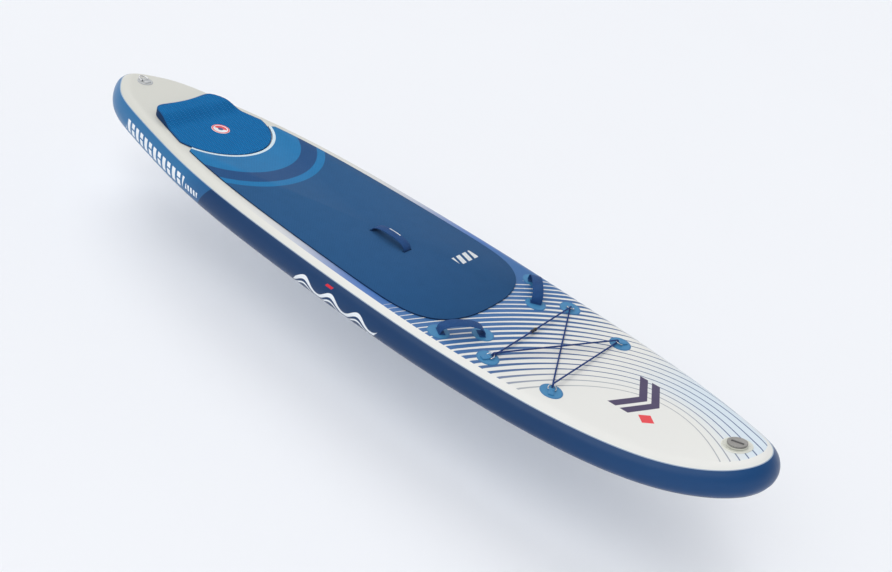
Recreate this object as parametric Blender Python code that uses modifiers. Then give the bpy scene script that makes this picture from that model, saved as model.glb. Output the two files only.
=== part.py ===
"""A stand up paddleboard: an inflatable hull with its pads, handles, rings, bungee, valve and fins.

Metres. +X runs to the nose, +Z up out of the deck, and the origin is the centre of the flat bottom.
The hull is drawn straight first, as a flat outline with round rails. bend() then lifts its nose.
"""

import math

import bmesh
import bpy
import numpy as np
from mathutils import Matrix, Vector

# Driving sizes of the hull
LENGTH = 2.896
WIDTH = 0.762
THICKNESS = 0.120
NOSE_LIFT_LONG = 0.045  # the even lift that starts at ROCKER_START
NOSE_LIFT_TIP = 0.047  # the kick that comes late, at the tip
ROCKER_START = 0.300
# Half the hull's width, as a share of its largest, at even steps of angle from the tail to the nose
OUTLINE = (0, 0.130, 0.338, 0.493, 0.646, 0.799, 0.902, 0.959, 0.993,
           1.0, 0.968, 0.903, 0.793, 0.631, 0.427, 0.221, 0)

# Skins, welded strips and clearances
SKIN = 0.0014
GAP = 0.0003  # between pieces that are welded or glued on the real board
SEAM = 0.0005  # between the edges of two skins
DECK_EDGE = math.radians(39)  # how far round the rail the deck skin reaches
BOTTOM_EDGE = math.radians(141)
PATCH = 0.0012  # a round welded patch
PATCH_LIFT = 0.0006  # its height over the deck, which is faceted here
STEPS = 28  # stations from tail to nose

# Pads
PAD = 0.005
PAD_MARGIN = 0.0755  # from the hull's side to the pad's
PAD_FRONT = 0.378
PAD_SQUARENESS = (4.5, 0.4)  # powers of the front's rounded outline
KICK_CENTRE = -0.948
KICK_RADIUS = 0.216
KICK_MOAT = 0.003  # gap between the two pads
KICK_SIDE_ANGLE = math.radians(80)
KICK_REAR = (-1.115, 0.160)  # x of the rear edge on the centre line, and half its width
KICK_REAR_HOLLOW = 0.027  # how far its corners reach back of its middle
KICK_REAR_CORNER = (0.057, 8)  # size and power of the rounding at its corners
KICK_HUMP = 0.0230  # how much higher the rear edge is
KICK_HUMP_START, KICK_HUMP_END = -0.985, -1.070
BADGE_X = -0.917
BADGE_RADIUS = 0.0345
BADGE = 0.0014

# Carry handles: webbing arches on two feet
WEBBING_WIDTH = 0.039
WEBBING = 0.0020
HANDLE_SWING = math.radians(30)
CENTRE_HANDLE_HEIGHT = 0.030
FRONT_HANDLE_HEIGHT = 0.037
ARCH_POWERS = (0.95, 0.7)  # along and up: below 1 they flatten the crown and steepen the ends
ARCH_END = 0.003  # height of the arch's end over its pivot
ARCH_END_HALF_WIDTH = 0.0022
CENTRE_HANDLE = (-0.148, 0.003)  # x of its two ends
CENTRE_FOOT = (0.009, 0.003)  # length and height of the foot at each end
SLOT_ROOM = (0.001, 0.003)  # round that foot in its slot in the pad, along and across
CENTRE_SLOT = (CENTRE_FOOT[0] + 2 * SLOT_ROOM[0], WEBBING_WIDTH + 2 * SLOT_ROOM[1])
FRONT_FEET = ((0.363, 0.287), (0.456, 0.163))
FOOT_LENGTH = 0.030
HANDLE_PATCH_RADIUS = 0.038
FOOT = 0.0016

# Bungee, its rings, and the leash ring
BUNGEE_RADIUS = 0.0028
RING_PLACES = {"rear": (0.543, 0.258), "front": (0.769, 0.226)}
RING_PATCH_RADIUS = 0.0383
RING_WIRE = 0.00175
RING_HALF_WIDTH = 0.0130
RING_DEPTH = 0.0175
RING_BAR_HEIGHT = 0.0058  # the straight bar's centre over the deck
RING_TILT = math.radians(20)
RING_INSET = 0.003  # from the patch's centre to the bar
RING_WEBBING = 0.019
BUNGEE_WRAP = 0.0060  # from the ring's bow to the cord that passes over and under it
JOINER_RADIUS = 0.0062
JOINER_LENGTH = 0.034
LEASH_X = -1.333
LEASH_PATCH_RADIUS = 0.030
LEASH_WIRE = 0.0022
LEASH_HALF_WIDTH = 0.0175
LEASH_DEPTH = 0.0260
LEASH_BAR_HEIGHT = 0.0066
LEASH_TILT = math.radians(8)
LEASH_WEBBING = 0.026
LOOP_CLEAR = 0.0004  # between a ring's bar and the webbing that holds it

# Valve, about the deck's normal at VALVE_X, with z from the deck
VALVE_X = 1.319
VALVE_PATCH_RADIUS = 0.051
VALVE_PATCH_LIFT = 0.0009
VALVE_PATCH_ROOM = 0.003  # round the barrel; the curved deck closes the hole in a little
VALVE_SOCKET = 0.0185
VALVE_BARREL = 0.0235
VALVE_DEPTH = 0.040
VALVE_FLANGE = (0.0345, 0.0025)  # radius and thickness
VALVE_FLANGE_Z = 0.0040
VALVE_WEB = (-0.022, 0.003)  # top and thickness of the web that guides the stem
VALVE_WINDOWS = 4
VALVE_WINDOW_RADIUS = 0.0045
POPPET_ROOM = 0.002  # round the poppet, in the barrel
VALVE_NUT = (0.0310, 0.0050)  # radius and height
VALVE_NUT_TOP = -0.0030
VALVE_TRAVEL = 0.005
STEM_RADIUS = 0.0030
BUTTON = (0.0068, 0.0030)  # radius and height
BUTTON_TOP = -0.0070
POPPET = (0.0165, 0.0016)
SEAL = (0.0155, 0.0012)
SPRING_RADIUS = 0.0055
SPRING_WIRE = 0.0005
SPRING_TURNS = 5
CAP_RADIUS = 0.0315
CAP_HEIGHT = 0.0050
CAP_PLUG_DEPTH = 0.0040
CAP_PLUG_WALL = 0.0022
CAP_GRIP = (0.0425, 0.006, 0.006)  # the finger bar on top
GASKET_WIRE = 0.0008
VALVE_CLEAR = 0.0005

# Fins
FIN_BOX = (-1.000, 0.200, 0.046)  # x of its centre, length and width
FIN_BOX_PLATE = 0.0020
FIN_RAIL = (0.0080, 0.0060)  # height and width of each side rail
FIN_LIP = (0.0025, 0.0060)  # height of the lip and how far it reaches in
FIN_BASE = (0.170, 0.003)  # length and thickness
FIN_CLEAR = 0.0005
FIN_NECK = 0.0085  # blade thickness where it leaves the box
FIN_DEPTH = 0.150  # blade height
FIN_ROOT = 0.150
FIN_TIP = 0.055
FIN_RAKE = 0.085
FIN_TIP_THICKNESS = 0.004
FIN_BOX_STOP = 0.007  # from the box's front end to the back of the stop across it
LOCK = (0.026, 0.019, 0.0025)  # length, width and thickness of the lock lever
SIDE_FIN = (-0.830, 0.175)  # x and y
SIDE_FIN_ROOT = 0.105
SIDE_FIN_TIP = 0.045
SIDE_FIN_DEPTH = 0.045
SIDE_FIN_RAKE = 0.030
SIDE_FIN_NECK = 0.010  # blade thickness at its base
SIDE_FIN_BASE = (0.140, 0.040, 0.003)  # length, width and thickness

RAIL = THICKNESS / 2
TIP = LENGTH / 2 - RAIL  # the straight outline's end, where the rail's centre turns

COLOURS = {
    "drop_stitch": ((0.80, 0.79, 0.74), 0.9, 0),
    "deck_white": ((0.80, 0.80, 0.78), 0.45, 0),
    "bottom_white": ((0.72, 0.74, 0.76), 0.45, 0),
    "rail_blue": ((0.012, 0.070, 0.205), 0.4, 0),
    "pad_blue": ((0.026, 0.107, 0.254), 0.9, 0),
    "kick_blue": ((0.006, 0.141, 0.376), 0.9, 0),
    "badge": ((0.77, 0.06, 0.07), 0.6, 0),
    "patch_blue": ((0.058, 0.241, 0.456), 0.5, 0),
    "webbing": ((0.017, 0.070, 0.223), 0.85, 0),
    "steel": ((0.62, 0.62, 0.63), 0.25, 1),
    "bungee": ((0.032, 0.045, 0.14), 0.8, 0),
    "black_plastic": ((0.02, 0.02, 0.025), 0.5, 0),
    "valve_clear": ((0.58, 0.58, 0.48), 0.4, 0),
    "valve_grey": ((0.30, 0.30, 0.29), 0.5, 0),
    "rubber": ((0.03, 0.03, 0.03), 0.8, 0),
    "fin_plastic": ((0.03, 0.05, 0.09), 0.4, 0),
}


# ---------------------------------------------------------------- scene, materials and small helpers

def clear_scene():
    for obj in list(bpy.data.objects):
        bpy.data.objects.remove(obj)


clear_scene()
BOARD = bpy.data.collections.new("stand_up_paddleboard")
CUTTERS = bpy.data.collections.new("cutters")
for group in (BOARD, CUTTERS):
    bpy.context.scene.collection.children.link(group)


def material(name):
    found = bpy.data.materials.get(name)
    if found:
        return found
    colour, roughness, metallic = COLOURS[name]
    made = bpy.data.materials.new(name)
    made.use_nodes = True
    shader = made.node_tree.nodes["Principled BSDF"]
    shader.inputs["Base Color"].default_value = (*colour, 1)
    shader.inputs["Roughness"].default_value = roughness
    shader.inputs["Metallic"].default_value = metallic
    return made


def add(name, data, finish, matrix=None):
    """Puts a mesh or curve in the board's collection, at matrix."""
    obj = bpy.data.objects.new(name, data)
    BOARD.objects.link(obj)
    data.materials.append(material(finish))
    if matrix is not None:
        obj.matrix_world = matrix
    if obj.type == "MESH":
        data.shade_smooth()
        data.set_sharp_from_angle(angle=math.radians(35))
    return obj


def mesh_from(bm, name):
    bmesh.ops.recalc_face_normals(bm, faces=bm.faces)
    mesh = bpy.data.meshes.new(name)
    bm.to_mesh(mesh)
    bm.free()
    return mesh


def joined_rings(bm, rings, closed_rings=True, ends=True, closed_path=False):
    """Faces between rings of vertices, and over the first and last ring."""
    pairs = list(zip(rings, rings[1:]))
    if closed_path:
        pairs.append((rings[-1], rings[0]))
    for low, high in pairs:
        count = len(low) if closed_rings else len(low) - 1
        for j in range(count):
            k = (j + 1) % len(low)
            bm.faces.new((low[j], low[k], high[k], high[j]))
    if ends and not closed_path:
        bm.faces.new(list(reversed(rings[0])))
        bm.faces.new(rings[-1])


def loft(name, rings, closed_path=False):
    """A closed solid through rings of points."""
    bm = bmesh.new()
    made = [[bm.verts.new(point) for point in ring] for ring in rings]
    joined_rings(bm, made, closed_path=closed_path)
    return mesh_from(bm, name)


def turned(name, profile, finish, matrix, steps=32):
    """A profile of (radius, z) pairs, top to bottom down its outer side, turned about Z."""
    bm = bmesh.new()
    points = [bm.verts.new((radius, 0, z)) for radius, z in profile]
    on_axis = profile[0][0] == 0 and profile[-1][0] == 0
    for a, b in zip(points, points[1:]):
        bm.edges.new((a, b))
    if not on_axis:
        bm.edges.new((points[-1], points[0]))
    mesh = bpy.data.meshes.new(name)
    bm.to_mesh(mesh)
    bm.free()
    obj = add(name, mesh, finish, matrix)
    screw = obj.modifiers.new("turn", "SCREW")
    screw.steps = screw.render_steps = steps
    screw.use_merge_vertices = True
    screw.merge_threshold = 0.00001
    return obj


def cutter(name, mesh, matrix=None):
    obj = bpy.data.objects.new(name, mesh)
    CUTTERS.objects.link(obj)
    obj.hide_render = True
    obj.display_type = "WIRE"
    if matrix is not None:
        obj.matrix_world = matrix
    return obj


def box_mesh(name, size, centre=(0, 0, 0)):
    bm = bmesh.new()
    place = Matrix.Translation(centre) @ Matrix.Diagonal((*size, 1))
    bmesh.ops.create_cube(bm, size=1, matrix=place)
    return mesh_from(bm, name)


def cylinder_mesh(name, radius, low, high, steps=32, centre=(0, 0)):
    bm = bmesh.new()
    place = Matrix.Translation((*centre, (low + high) / 2))
    bmesh.ops.create_cone(bm, cap_ends=True, segments=steps, radius1=radius, radius2=radius,
                          depth=high - low, matrix=place)
    return mesh_from(bm, name)


def cut(obj, tool, operation="DIFFERENCE"):
    made = obj.modifiers.new(tool.name, "BOOLEAN")
    made.object = tool
    made.operation = operation
    made.solver = "EXACT"


def wire(name, points, radius, finish, matrix=None, cyclic=False, sides=2):
    """A round wire through points."""
    curve = bpy.data.curves.new(name, "CURVE")
    curve.dimensions = "3D"
    curve.bevel_depth = radius
    curve.bevel_resolution = sides
    curve.use_fill_caps = True
    line = curve.splines.new("POLY")
    line.points.add(len(points) - 1)
    for target, point in zip(line.points, points):
        target.co = (*point, 1)
    line.use_cyclic_u = cyclic
    return add(name, curve, finish, matrix)


def flat_plate(name, outline, low, high, finish, matrix=None):
    """A plate from z = low to high with this outline of (x, y) points."""
    curve = bpy.data.curves.new(name, "CURVE")
    curve.dimensions = "2D"
    curve.fill_mode = "BOTH"
    curve.extrude = (high - low) / 2
    line = curve.splines.new("POLY")
    line.points.add(len(outline) - 1)
    for target, (x, y) in zip(line.points, outline):
        target.co = (x, y, 0, 1)
    line.use_cyclic_u = True
    lift = Matrix.Translation((0, 0, (low + high) / 2))
    return add(name, curve, finish, (matrix or Matrix.Identity(4)) @ lift)


def as_mesh(obj):
    """The same piece as a mesh, so that a Boolean can cut it."""
    graph = bpy.context.evaluated_depsgraph_get()
    mesh = bpy.data.meshes.new_from_object(obj.evaluated_get(graph))
    bm = bmesh.new()
    bm.from_mesh(mesh)
    bmesh.ops.remove_doubles(bm, verts=bm.verts, dist=0.00001)
    bm.to_mesh(mesh)
    bm.free()
    name, place = obj.name, obj.matrix_world.copy()
    bpy.data.objects.remove(obj)
    made = bpy.data.objects.new(name, mesh)
    BOARD.objects.link(made)
    made.matrix_world = place
    return made


# ---------------------------------------------------------------- the hull's form

def natural_spline(values):
    """Second derivatives of the smooth curve through evenly spaced values."""
    count = len(values)
    matrix = np.eye(count)
    right = np.zeros(count)
    for i in range(1, count - 1):
        matrix[i, i - 1:i + 2] = (1, 4, 1)
        right[i] = 6 * (values[i - 1] - 2 * values[i] + values[i + 1])
    return np.linalg.solve(matrix, right)


BENDS = natural_spline(OUTLINE)


def outline_share(angle):
    """Half the outline's width, as a share of the largest, at an angle from the tail (0) to the nose (pi)."""
    place = min(max(angle / math.pi, 0), 1) * (len(OUTLINE) - 1)
    i = min(int(place), len(OUTLINE) - 2)
    b = place - i
    a = 1 - b
    straight = a * OUTLINE[i] + b * OUTLINE[i + 1]
    return straight + ((a**3 - a) * BENDS[i] + (b**3 - b) * BENDS[i + 1]) / 6


def inset_point(angle, side):
    """Point of the flat outline that the rail turns about, and its outward direction in plan."""
    small = 1e-4
    half = (WIDTH / 2 - RAIL)
    slope = half * (outline_share(angle + small) - outline_share(angle - small)) / (2 * small)
    if angle < small or angle > math.pi - small:
        slope = half * (1 if angle < 1 else -1)
    along = TIP * math.sin(angle)
    size = math.hypot(along, slope)
    return -TIP * math.cos(angle), side * half * outline_share(angle), -slope / size, side * along / size


def inset_width(x):
    """Half the flat deck's width at x."""
    return (WIDTH / 2 - RAIL) * outline_share(math.acos(min(max(-x / TIP, -1), 1)))


def rocker(x):
    """Lift and slope of the hull's middle at x."""
    run = TIP - ROCKER_START
    share = min(max((x - ROCKER_START) / run, 0), 1)
    lift = NOSE_LIFT_LONG * share**2 + NOSE_LIFT_TIP * share**8
    return lift, (2 * NOSE_LIFT_LONG * share + 8 * NOSE_LIFT_TIP * share**7) / run


def bend(x, y, z):
    """A point of the straight hull, z from its bottom, on the hull as it is."""
    at = min(x, TIP)
    lift, slope = rocker(at)
    along = Vector((1, 0, slope)).normalized()
    up = Vector((-along.z, 0, along.x))
    return Vector((at, y, RAIL + lift)) + along * (x - at) + up * (z - RAIL)


def deck_frame(x, y, turn=0.0, height=0.0):
    """A place on the deck: Z out of it, X turned from the nose's direction."""
    slope = rocker(x)[1]
    tilt = Matrix.Rotation(-math.atan(slope), 4, "Y")
    return Matrix.Translation(bend(x, y, THICKNESS + height)) @ tilt @ Matrix.Rotation(turn, 4, "Z")


DECK_ANGLES = list(np.linspace(0, DECK_EDGE, 4))  # round the rail, from the deck's normal
SIDE_ANGLES = list(np.linspace(DECK_EDGE, BOTTOM_EDGE, 7))
BOTTOM_ANGLES = list(np.linspace(BOTTOM_EDGE, math.pi, 4))


def hull_loop():
    """Outline points round the hull: along port to the nose and back along starboard."""
    port = [inset_point(math.pi * i / STEPS, 1) for i in range(STEPS + 1)]
    starboard = [inset_point(math.pi * i / STEPS, -1) for i in range(STEPS - 1, 0, -1)]
    return port + starboard


def rail_point(place, angle, radius):
    x, y, nx, ny = place
    reach = radius * math.sin(angle)
    return bend(x + nx * reach, y + ny * reach, RAIL + radius * math.cos(angle))


def sheet(bm, places, angles, radius, closed=True):
    """The rounded part of one surface of the hull, as triangles. Each cell is split along its outer diagonal,
    so that the skins and the core, which lie a little apart, are split alike."""
    points = [[rail_point(place, angle, radius) for angle in angles] for place in places]
    grid = [[bm.verts.new(point) for point in column] for column in points]
    for i in range(len(places) if closed else len(places) - 1):
        n = (i + 1) % len(places)
        for j in range(len(angles) - 1):
            corners = (points[i][j], points[n][j], points[n][j + 1], points[i][j + 1])
            a, b, c, d = grid[i][j], grid[n][j], grid[n][j + 1], grid[i][j + 1]
            outward = corners[0] - rail_point(places[i], angles[j], 0)
            if (corners[0] + corners[2] - corners[1] - corners[3]).dot(outward) > 0:
                bm.faces.new((a, b, c))
                bm.faces.new((a, c, d))
            else:
                bm.faces.new((a, b, d))
                bm.faces.new((b, c, d))
    return grid


def flat_fill(bm, row):
    """The flat deck or bottom, between the port and starboard vertices of one closed loop."""
    count = len(row)
    half = count // 2
    bm.faces.new((row[0], row[1], row[-1]))
    for i in range(1, half - 1):
        bm.faces.new((row[i], row[i + 1], row[count - i - 1], row[count - i]))
    bm.faces.new((row[half - 1], row[half], row[half + 1]))


def drop_stitch_core():
    bm = bmesh.new()
    places = hull_loop()
    grid = sheet(bm, places, DECK_ANGLES + SIDE_ANGLES[1:] + BOTTOM_ANGLES[1:], RAIL - SKIN - GAP)
    flat_fill(bm, [column[0] for column in grid])
    flat_fill(bm, [column[-1] for column in grid])
    core = add("drop_stitch_core", mesh_from(bm, "drop_stitch_core"), "drop_stitch")
    for tool in valve_pocket_cutters():
        cut(core, tool)


def flat_skin(name, angles, flat_index, finish):
    """Deck or bottom skin: it covers the flat and turns over the rail."""
    bm = bmesh.new()
    places = hull_loop()
    outer = sheet(bm, places, angles, RAIL)
    inner = sheet(bm, places, angles, RAIL - SKIN)
    edge_index = len(angles) - 1 if flat_index == 0 else 0
    for grid in (outer, inner):
        flat_fill(bm, [column[flat_index] for column in grid])
    edges = [[column[edge_index] for column in grid] for grid in (outer, inner)]
    joined_rings(bm, edges, ends=False)
    return add(name, mesh_from(bm, name), finish)


def rail_band(name, side):
    """The side strip from tail to nose on one side, with a seam at each tip."""
    bm = bmesh.new()
    seam = SEAM / RAIL
    angles = [DECK_EDGE + seam, *SIDE_ANGLES[1:-1], BOTTOM_EDGE - seam]
    places = [inset_point(math.pi * i / STEPS, side) for i in range(STEPS + 1)]
    outer, inner = (sheet(bm, places, angles, radius, closed=False) for radius in (RAIL, RAIL - SKIN))
    for edge in (0, -1):
        joined_rings(bm, [[column[edge] for column in grid] for grid in (outer, inner)],
                     closed_rings=False, ends=False)
        joined_rings(bm, [outer[edge], inner[edge]], closed_rings=False, ends=False)
    for vert in bm.verts:
        vert.co.y = side * max(side * vert.co.y, SEAM / 2)
    return add(name, mesh_from(bm, name), "rail_blue")


# ---------------------------------------------------------------- pads

def pad_half_width(x):
    side = inset_width(x) + RAIL - PAD_MARGIN
    if x <= 0:
        return side
    inner, outer = PAD_SQUARENESS
    return side * max(1 - (x / PAD_FRONT) ** inner, 0) ** outer


def deck_pad():
    """The main pad: its rear edge is an arc round the kick pad, its front a rounded square."""
    radius = KICK_RADIUS + KICK_MOAT
    corner = math.radians(70)
    for _ in range(20):  # the angle at which the arc meets the pad's side
        half = pad_half_width(KICK_CENTRE + radius * math.cos(corner))
        corner = math.asin(min(half / radius, 1))
    start = KICK_CENTRE + radius * math.cos(corner)
    rear = [(KICK_CENTRE + radius * math.cos(a), radius * math.sin(a)) for a in np.linspace(-corner, corner, 25)]
    sides = [x for x in np.linspace(start, 0, 13)[1:]]
    sides += [PAD_FRONT * math.sin(a) for a in np.linspace(0, math.pi / 2, 17)[1:-1]]
    port = [(x, pad_half_width(x)) for x in sides]
    starboard = [(x, -y) for x, y in reversed(port)]
    low = THICKNESS + GAP * 2
    pad = as_mesh(flat_plate("deck_pad", rear + port + [(PAD_FRONT, 0)] + starboard, low, low + PAD, "pad_blue"))
    for end, x in zip(("aft", "fore"), CENTRE_HANDLE):
        slot = box_mesh(f"slot_{end}", (*CENTRE_SLOT, 0.04), (x, 0, THICKNESS))
        cut(pad, cutter(f"slot_{end}", slot))


def kick_point(u, v):
    """Plan point of the kick pad: u from its concave rear edge to its round front, v across."""
    rear_x, rear_half = KICK_REAR
    size, power = KICK_REAR_CORNER
    rear = Vector((rear_x - KICK_REAR_HOLLOW * v**2 + size * v**power, rear_half * v))
    angle = KICK_SIDE_ANGLE * v
    front = Vector((KICK_CENTRE + KICK_RADIUS * math.cos(angle), KICK_RADIUS * math.sin(angle)))
    return rear.lerp(front, u)


def kick_height(x):
    share = min(max((x - KICK_HUMP_START) / (KICK_HUMP_END - KICK_HUMP_START), 0), 1)
    return PAD + KICK_HUMP * share**2 * (3 - 2 * share)


def kick_pad():
    low = THICKNESS + GAP * 2
    across = [math.sin(a) for a in np.linspace(-math.pi / 2, math.pi / 2, 17)]
    bm = bmesh.new()
    grids = []
    for lift in (lambda x: 0, kick_height):
        rows = []
        for u in np.linspace(0, 1, 13) ** 1.3:
            points = [kick_point(u, v) for v in across]
            rows.append([bm.verts.new((p.x, p.y, low + lift(p.x))) for p in points])
        joined_rings(bm, rows, closed_rings=False, ends=False)
        grids.append(rows)
    borders = []
    for rows in grids:
        border = rows[0] + [row[-1] for row in rows[1:]]
        border += list(reversed(rows[-1]))[1:] + [row[0] for row in reversed(rows[1:-1])]
        borders.append(border)
    joined_rings(bm, borders, ends=False)
    add("kick_pad", mesh_from(bm, "kick_pad"), "kick_blue")
    badge_low = low + PAD + GAP
    add("kick_pad_badge", cylinder_mesh("kick_pad_badge", BADGE_RADIUS, badge_low, badge_low + BADGE,
                                        centre=(BADGE_X, 0)), "badge")


# ---------------------------------------------------------------- patches, handles and rings

def draped_patch(name, x, y, radius, finish, lift=PATCH_LIFT, hole=0.0, rings=2, thickness=PATCH):
    """A thin round patch that follows the deck, with or without a hole."""
    steps = 24
    bm = bmesh.new()
    radii = list(np.linspace(hole, radius, rings + 1))
    layers = []
    for height in (lift, lift + thickness):
        loops = []
        for r in radii:
            if r == 0:
                loops.append([bm.verts.new(bend(x, y, THICKNESS + height))])
                continue
            turns = [2 * math.pi * k / steps for k in range(steps)]
            loops.append([bm.verts.new(bend(x + r * math.cos(a), y + r * math.sin(a), THICKNESS + height))
                          for a in turns])
        for inner, outer in zip(loops, loops[1:]):
            for k in range(steps):
                n = (k + 1) % steps
                if len(inner) == 1:
                    bm.faces.new((inner[0], outer[k], outer[n]))
                else:
                    bm.faces.new((inner[k], outer[k], outer[n], inner[n]))
        layers.append(loops)
    joined_rings(bm, [layers[0][-1], layers[1][-1]], ends=False)
    if hole:
        joined_rings(bm, [layers[0][0], layers[1][0]], ends=False)
    return add(name, mesh_from(bm, name), finish)


def handle_arch(name, half_length, frame, pivot, floor, height):
    """A webbing arch along the frame's X. It swings about a line at z = pivot, and its ends taper so
    that they clear z = floor at the end of the swing."""
    steps = 22
    rings = []
    run, rise = ARCH_POWERS
    start = math.asin((ARCH_END / height) ** (1 / rise))
    for angle in np.linspace(start, math.pi - start, steps + 1):
        x = -half_length * math.copysign(abs(math.cos(angle)) ** run, math.cos(angle))
        z = pivot + height * math.sin(angle) ** rise
        climb = rise * height * math.cos(angle) / math.sin(angle) ** (1 - rise)
        ahead = Vector((half_length * math.sin(angle), 0, climb))
        normal = Vector((-ahead.z, 0, ahead.x)).normalized() * WEBBING / 2
        room = ((z - pivot - WEBBING) * math.cos(HANDLE_SWING) - (floor - pivot)) / math.sin(HANDLE_SWING)
        half = min(max(room, ARCH_END_HALF_WIDTH), WEBBING_WIDTH / 2)
        centre = Vector((x, 0, z))
        rings.append([centre + normal + Vector((0, half, 0)), centre + normal - Vector((0, half, 0)),
                      centre - normal - Vector((0, half, 0)), centre - normal + Vector((0, half, 0))])
    mesh = loft(name, [[point - Vector((0, 0, pivot)) for point in ring] for ring in rings])
    return add(name, mesh, "webbing", frame @ Matrix.Translation((0, 0, pivot)))


def centre_handle():
    low, high = CENTRE_HANDLE
    frame = deck_frame((low + high) / 2, 0)
    half = (high - low) / 2
    foot_length, foot_height = CENTRE_FOOT
    foot_top = GAP * 2 + foot_height
    for end, side in (("aft", -1), ("fore", 1)):
        size = (foot_length, WEBBING_WIDTH, foot_height)
        centre = (side * half, 0, GAP * 2 + foot_height / 2)
        add(f"centre_handle_foot_{end}", box_mesh("foot", size, centre), "webbing", frame)
    handle_arch("centre_handle", half, frame, foot_top - 0.0005, PAD + GAP * 2 + 0.0008, CENTRE_HANDLE_HEIGHT)


def front_handle(name, side):
    (x0, y0), (x1, y1) = FRONT_FEET
    turn = math.atan2(side * (y1 - y0), x1 - x0)
    length = math.hypot(x1 - x0, y1 - y0)
    frame = deck_frame((x0 + x1) / 2, side * (y0 + y1) / 2, turn)
    foot_low = PATCH_LIFT + PATCH + GAP * 2
    for end, (x, y), way in (("outer", FRONT_FEET[0], -1), ("inner", FRONT_FEET[1], 1)):
        draped_patch(f"{name}_patch_{end}", x, side * y, HANDLE_PATCH_RADIUS, "patch_blue")
        size = (FOOT_LENGTH, WEBBING_WIDTH, FOOT)
        foot = box_mesh("foot", size, (way * length / 2, 0, foot_low + FOOT / 2))
        add(f"{name}_foot_{end}", foot, "webbing", frame)
    top = foot_low + FOOT
    handle_arch(name, length / 2, frame, top - 0.0005, top + 0.0005, FRONT_HANDLE_HEIGHT)


def bow_points(half_width, depth):
    """A D ring's centre line: the straight bar on local Y, the bow towards +X."""
    turns = np.linspace(-math.pi / 2, math.pi / 2, 17)
    return [(depth * math.cos(a) ** 0.8, half_width * math.sin(a), 0) for a in turns]


def ring_webbing(name, frame, bar_height, wire_radius, width, length):
    """Webbing folded round a ring's straight bar: an eye at the bar and one stitched tail behind it."""
    inner = wire_radius + LOOP_CLEAR
    low = PATCH_LIFT + PATCH + GAP
    layer = bar_height - inner - low
    outer = inner + layer
    turns = np.linspace(math.radians(165), math.radians(-105), 9)
    eye = [(outer * math.cos(a), bar_height + outer * math.sin(a)) for a in turns]
    tail_top = low + 2 * layer
    outline = [(-length, tail_top), (-outer * 1.8, tail_top), *eye, (-length, low)]
    rings = [[(x, y, z) for x, z in outline] for y in (-width / 2, width / 2)]
    piece = add(name, loft(name, rings), "webbing", frame)
    across = Matrix.Translation((0, 0, bar_height)) @ Matrix.Rotation(math.pi / 2, 4, "X")
    hole = cylinder_mesh(f"{name}_eye", inner, -width, width, steps=12)
    cut(piece, cutter(f"{name}_eye", hole, frame @ across))


def ring_on_patch(name, place, turn, patch_radius, half_width, depth, wire_radius, bar_height, tilt, webbing_width):
    """A welded patch, the webbing on it, and the D ring that turns in the webbing. Returns the bow's middle."""
    x, y = place
    draped_patch(f"{name}_patch", x, y, patch_radius, "patch_blue")
    frame = deck_frame(x + RING_INSET * math.cos(turn), y + RING_INSET * math.sin(turn), turn)
    ring_webbing(f"{name}_webbing", frame, bar_height, wire_radius, webbing_width, patch_radius * 0.72)
    bar = frame @ Matrix.Translation((0, 0, bar_height)) @ Matrix.Rotation(-tilt, 4, "Y")
    wire(name, bow_points(half_width, depth), wire_radius, "steel", bar, cyclic=True)
    return bar @ Vector((depth, 0, 0))


def bungee_middle():
    """The point on the centre line that the four bungee rings face."""
    return sum(place[0] for place in RING_PLACES.values()) / len(RING_PLACES)


def bungee_rings():
    """The four rings, and the middle of each one's bow."""
    bows = {}
    for end, (x, y) in RING_PLACES.items():
        for side, word in ((1, "port"), (-1, "starboard")):
            turn = math.atan2(-side * y, bungee_middle() - x)
            bows[end, side] = ring_on_patch(
                f"bungee_ring_{end}_{word}", (x, side * y), turn, RING_PATCH_RADIUS, RING_HALF_WIDTH,
                RING_DEPTH, RING_WIRE, RING_BAR_HEIGHT, RING_TILT, RING_WEBBING)
    return bows


def leash_ring():
    ring_on_patch("leash_ring", (LEASH_X, 0), math.pi, LEASH_PATCH_RADIUS, LEASH_HALF_WIDTH, LEASH_DEPTH,
                  LEASH_WIRE, LEASH_BAR_HEIGHT, LEASH_TILT, LEASH_WEBBING)


def wrap(bow, over_first):
    """The cord's turn round a ring's bow: over it, down through the eye and back under, or the reverse."""
    outward = Vector((bow.x - bungee_middle(), bow.y, 0)).normalized()
    start = math.pi / 2 if over_first else -math.pi / 2
    return [bow + outward * BUNGEE_WRAP * math.cos(a) + Vector((0, 0, BUNGEE_WRAP * math.sin(a)))
            for a in np.linspace(start, -start, 9)]


def bungee(bows):
    """One loop of cord, joined on its rear strand. Both diagonals end alike, one over and one under,
    so that they pass each other in the middle."""
    route = ((("rear", 1), True), (("front", -1), False), (("front", 1), False), (("rear", -1), True))
    turns = [wrap(bows[key], over_first) for key, over_first in route]
    wire("bungee_cord", [point for turn in turns for point in turn], BUNGEE_RADIUS, "bungee", cyclic=True)
    start, end = turns[-1][-1], turns[0][0]
    along = (end - start).to_track_quat("Z", "Y").to_matrix().to_4x4()
    half = JOINER_LENGTH / 2
    bore = BUNGEE_RADIUS + GAP
    turned("bungee_joiner", [
        (bore, half), (JOINER_RADIUS * 0.8, half), (JOINER_RADIUS, half * 0.7), (JOINER_RADIUS, half * 0.2),
        (JOINER_RADIUS * 0.8, 0), (JOINER_RADIUS, -half * 0.2), (JOINER_RADIUS, -half * 0.7),
        (JOINER_RADIUS * 0.8, -half), (bore, -half)], "black_plastic",
        Matrix.Translation((start + end) / 2) @ along, steps=12)


# ---------------------------------------------------------------- valve

def valve_frame():
    return deck_frame(VALVE_X, 0)


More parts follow.
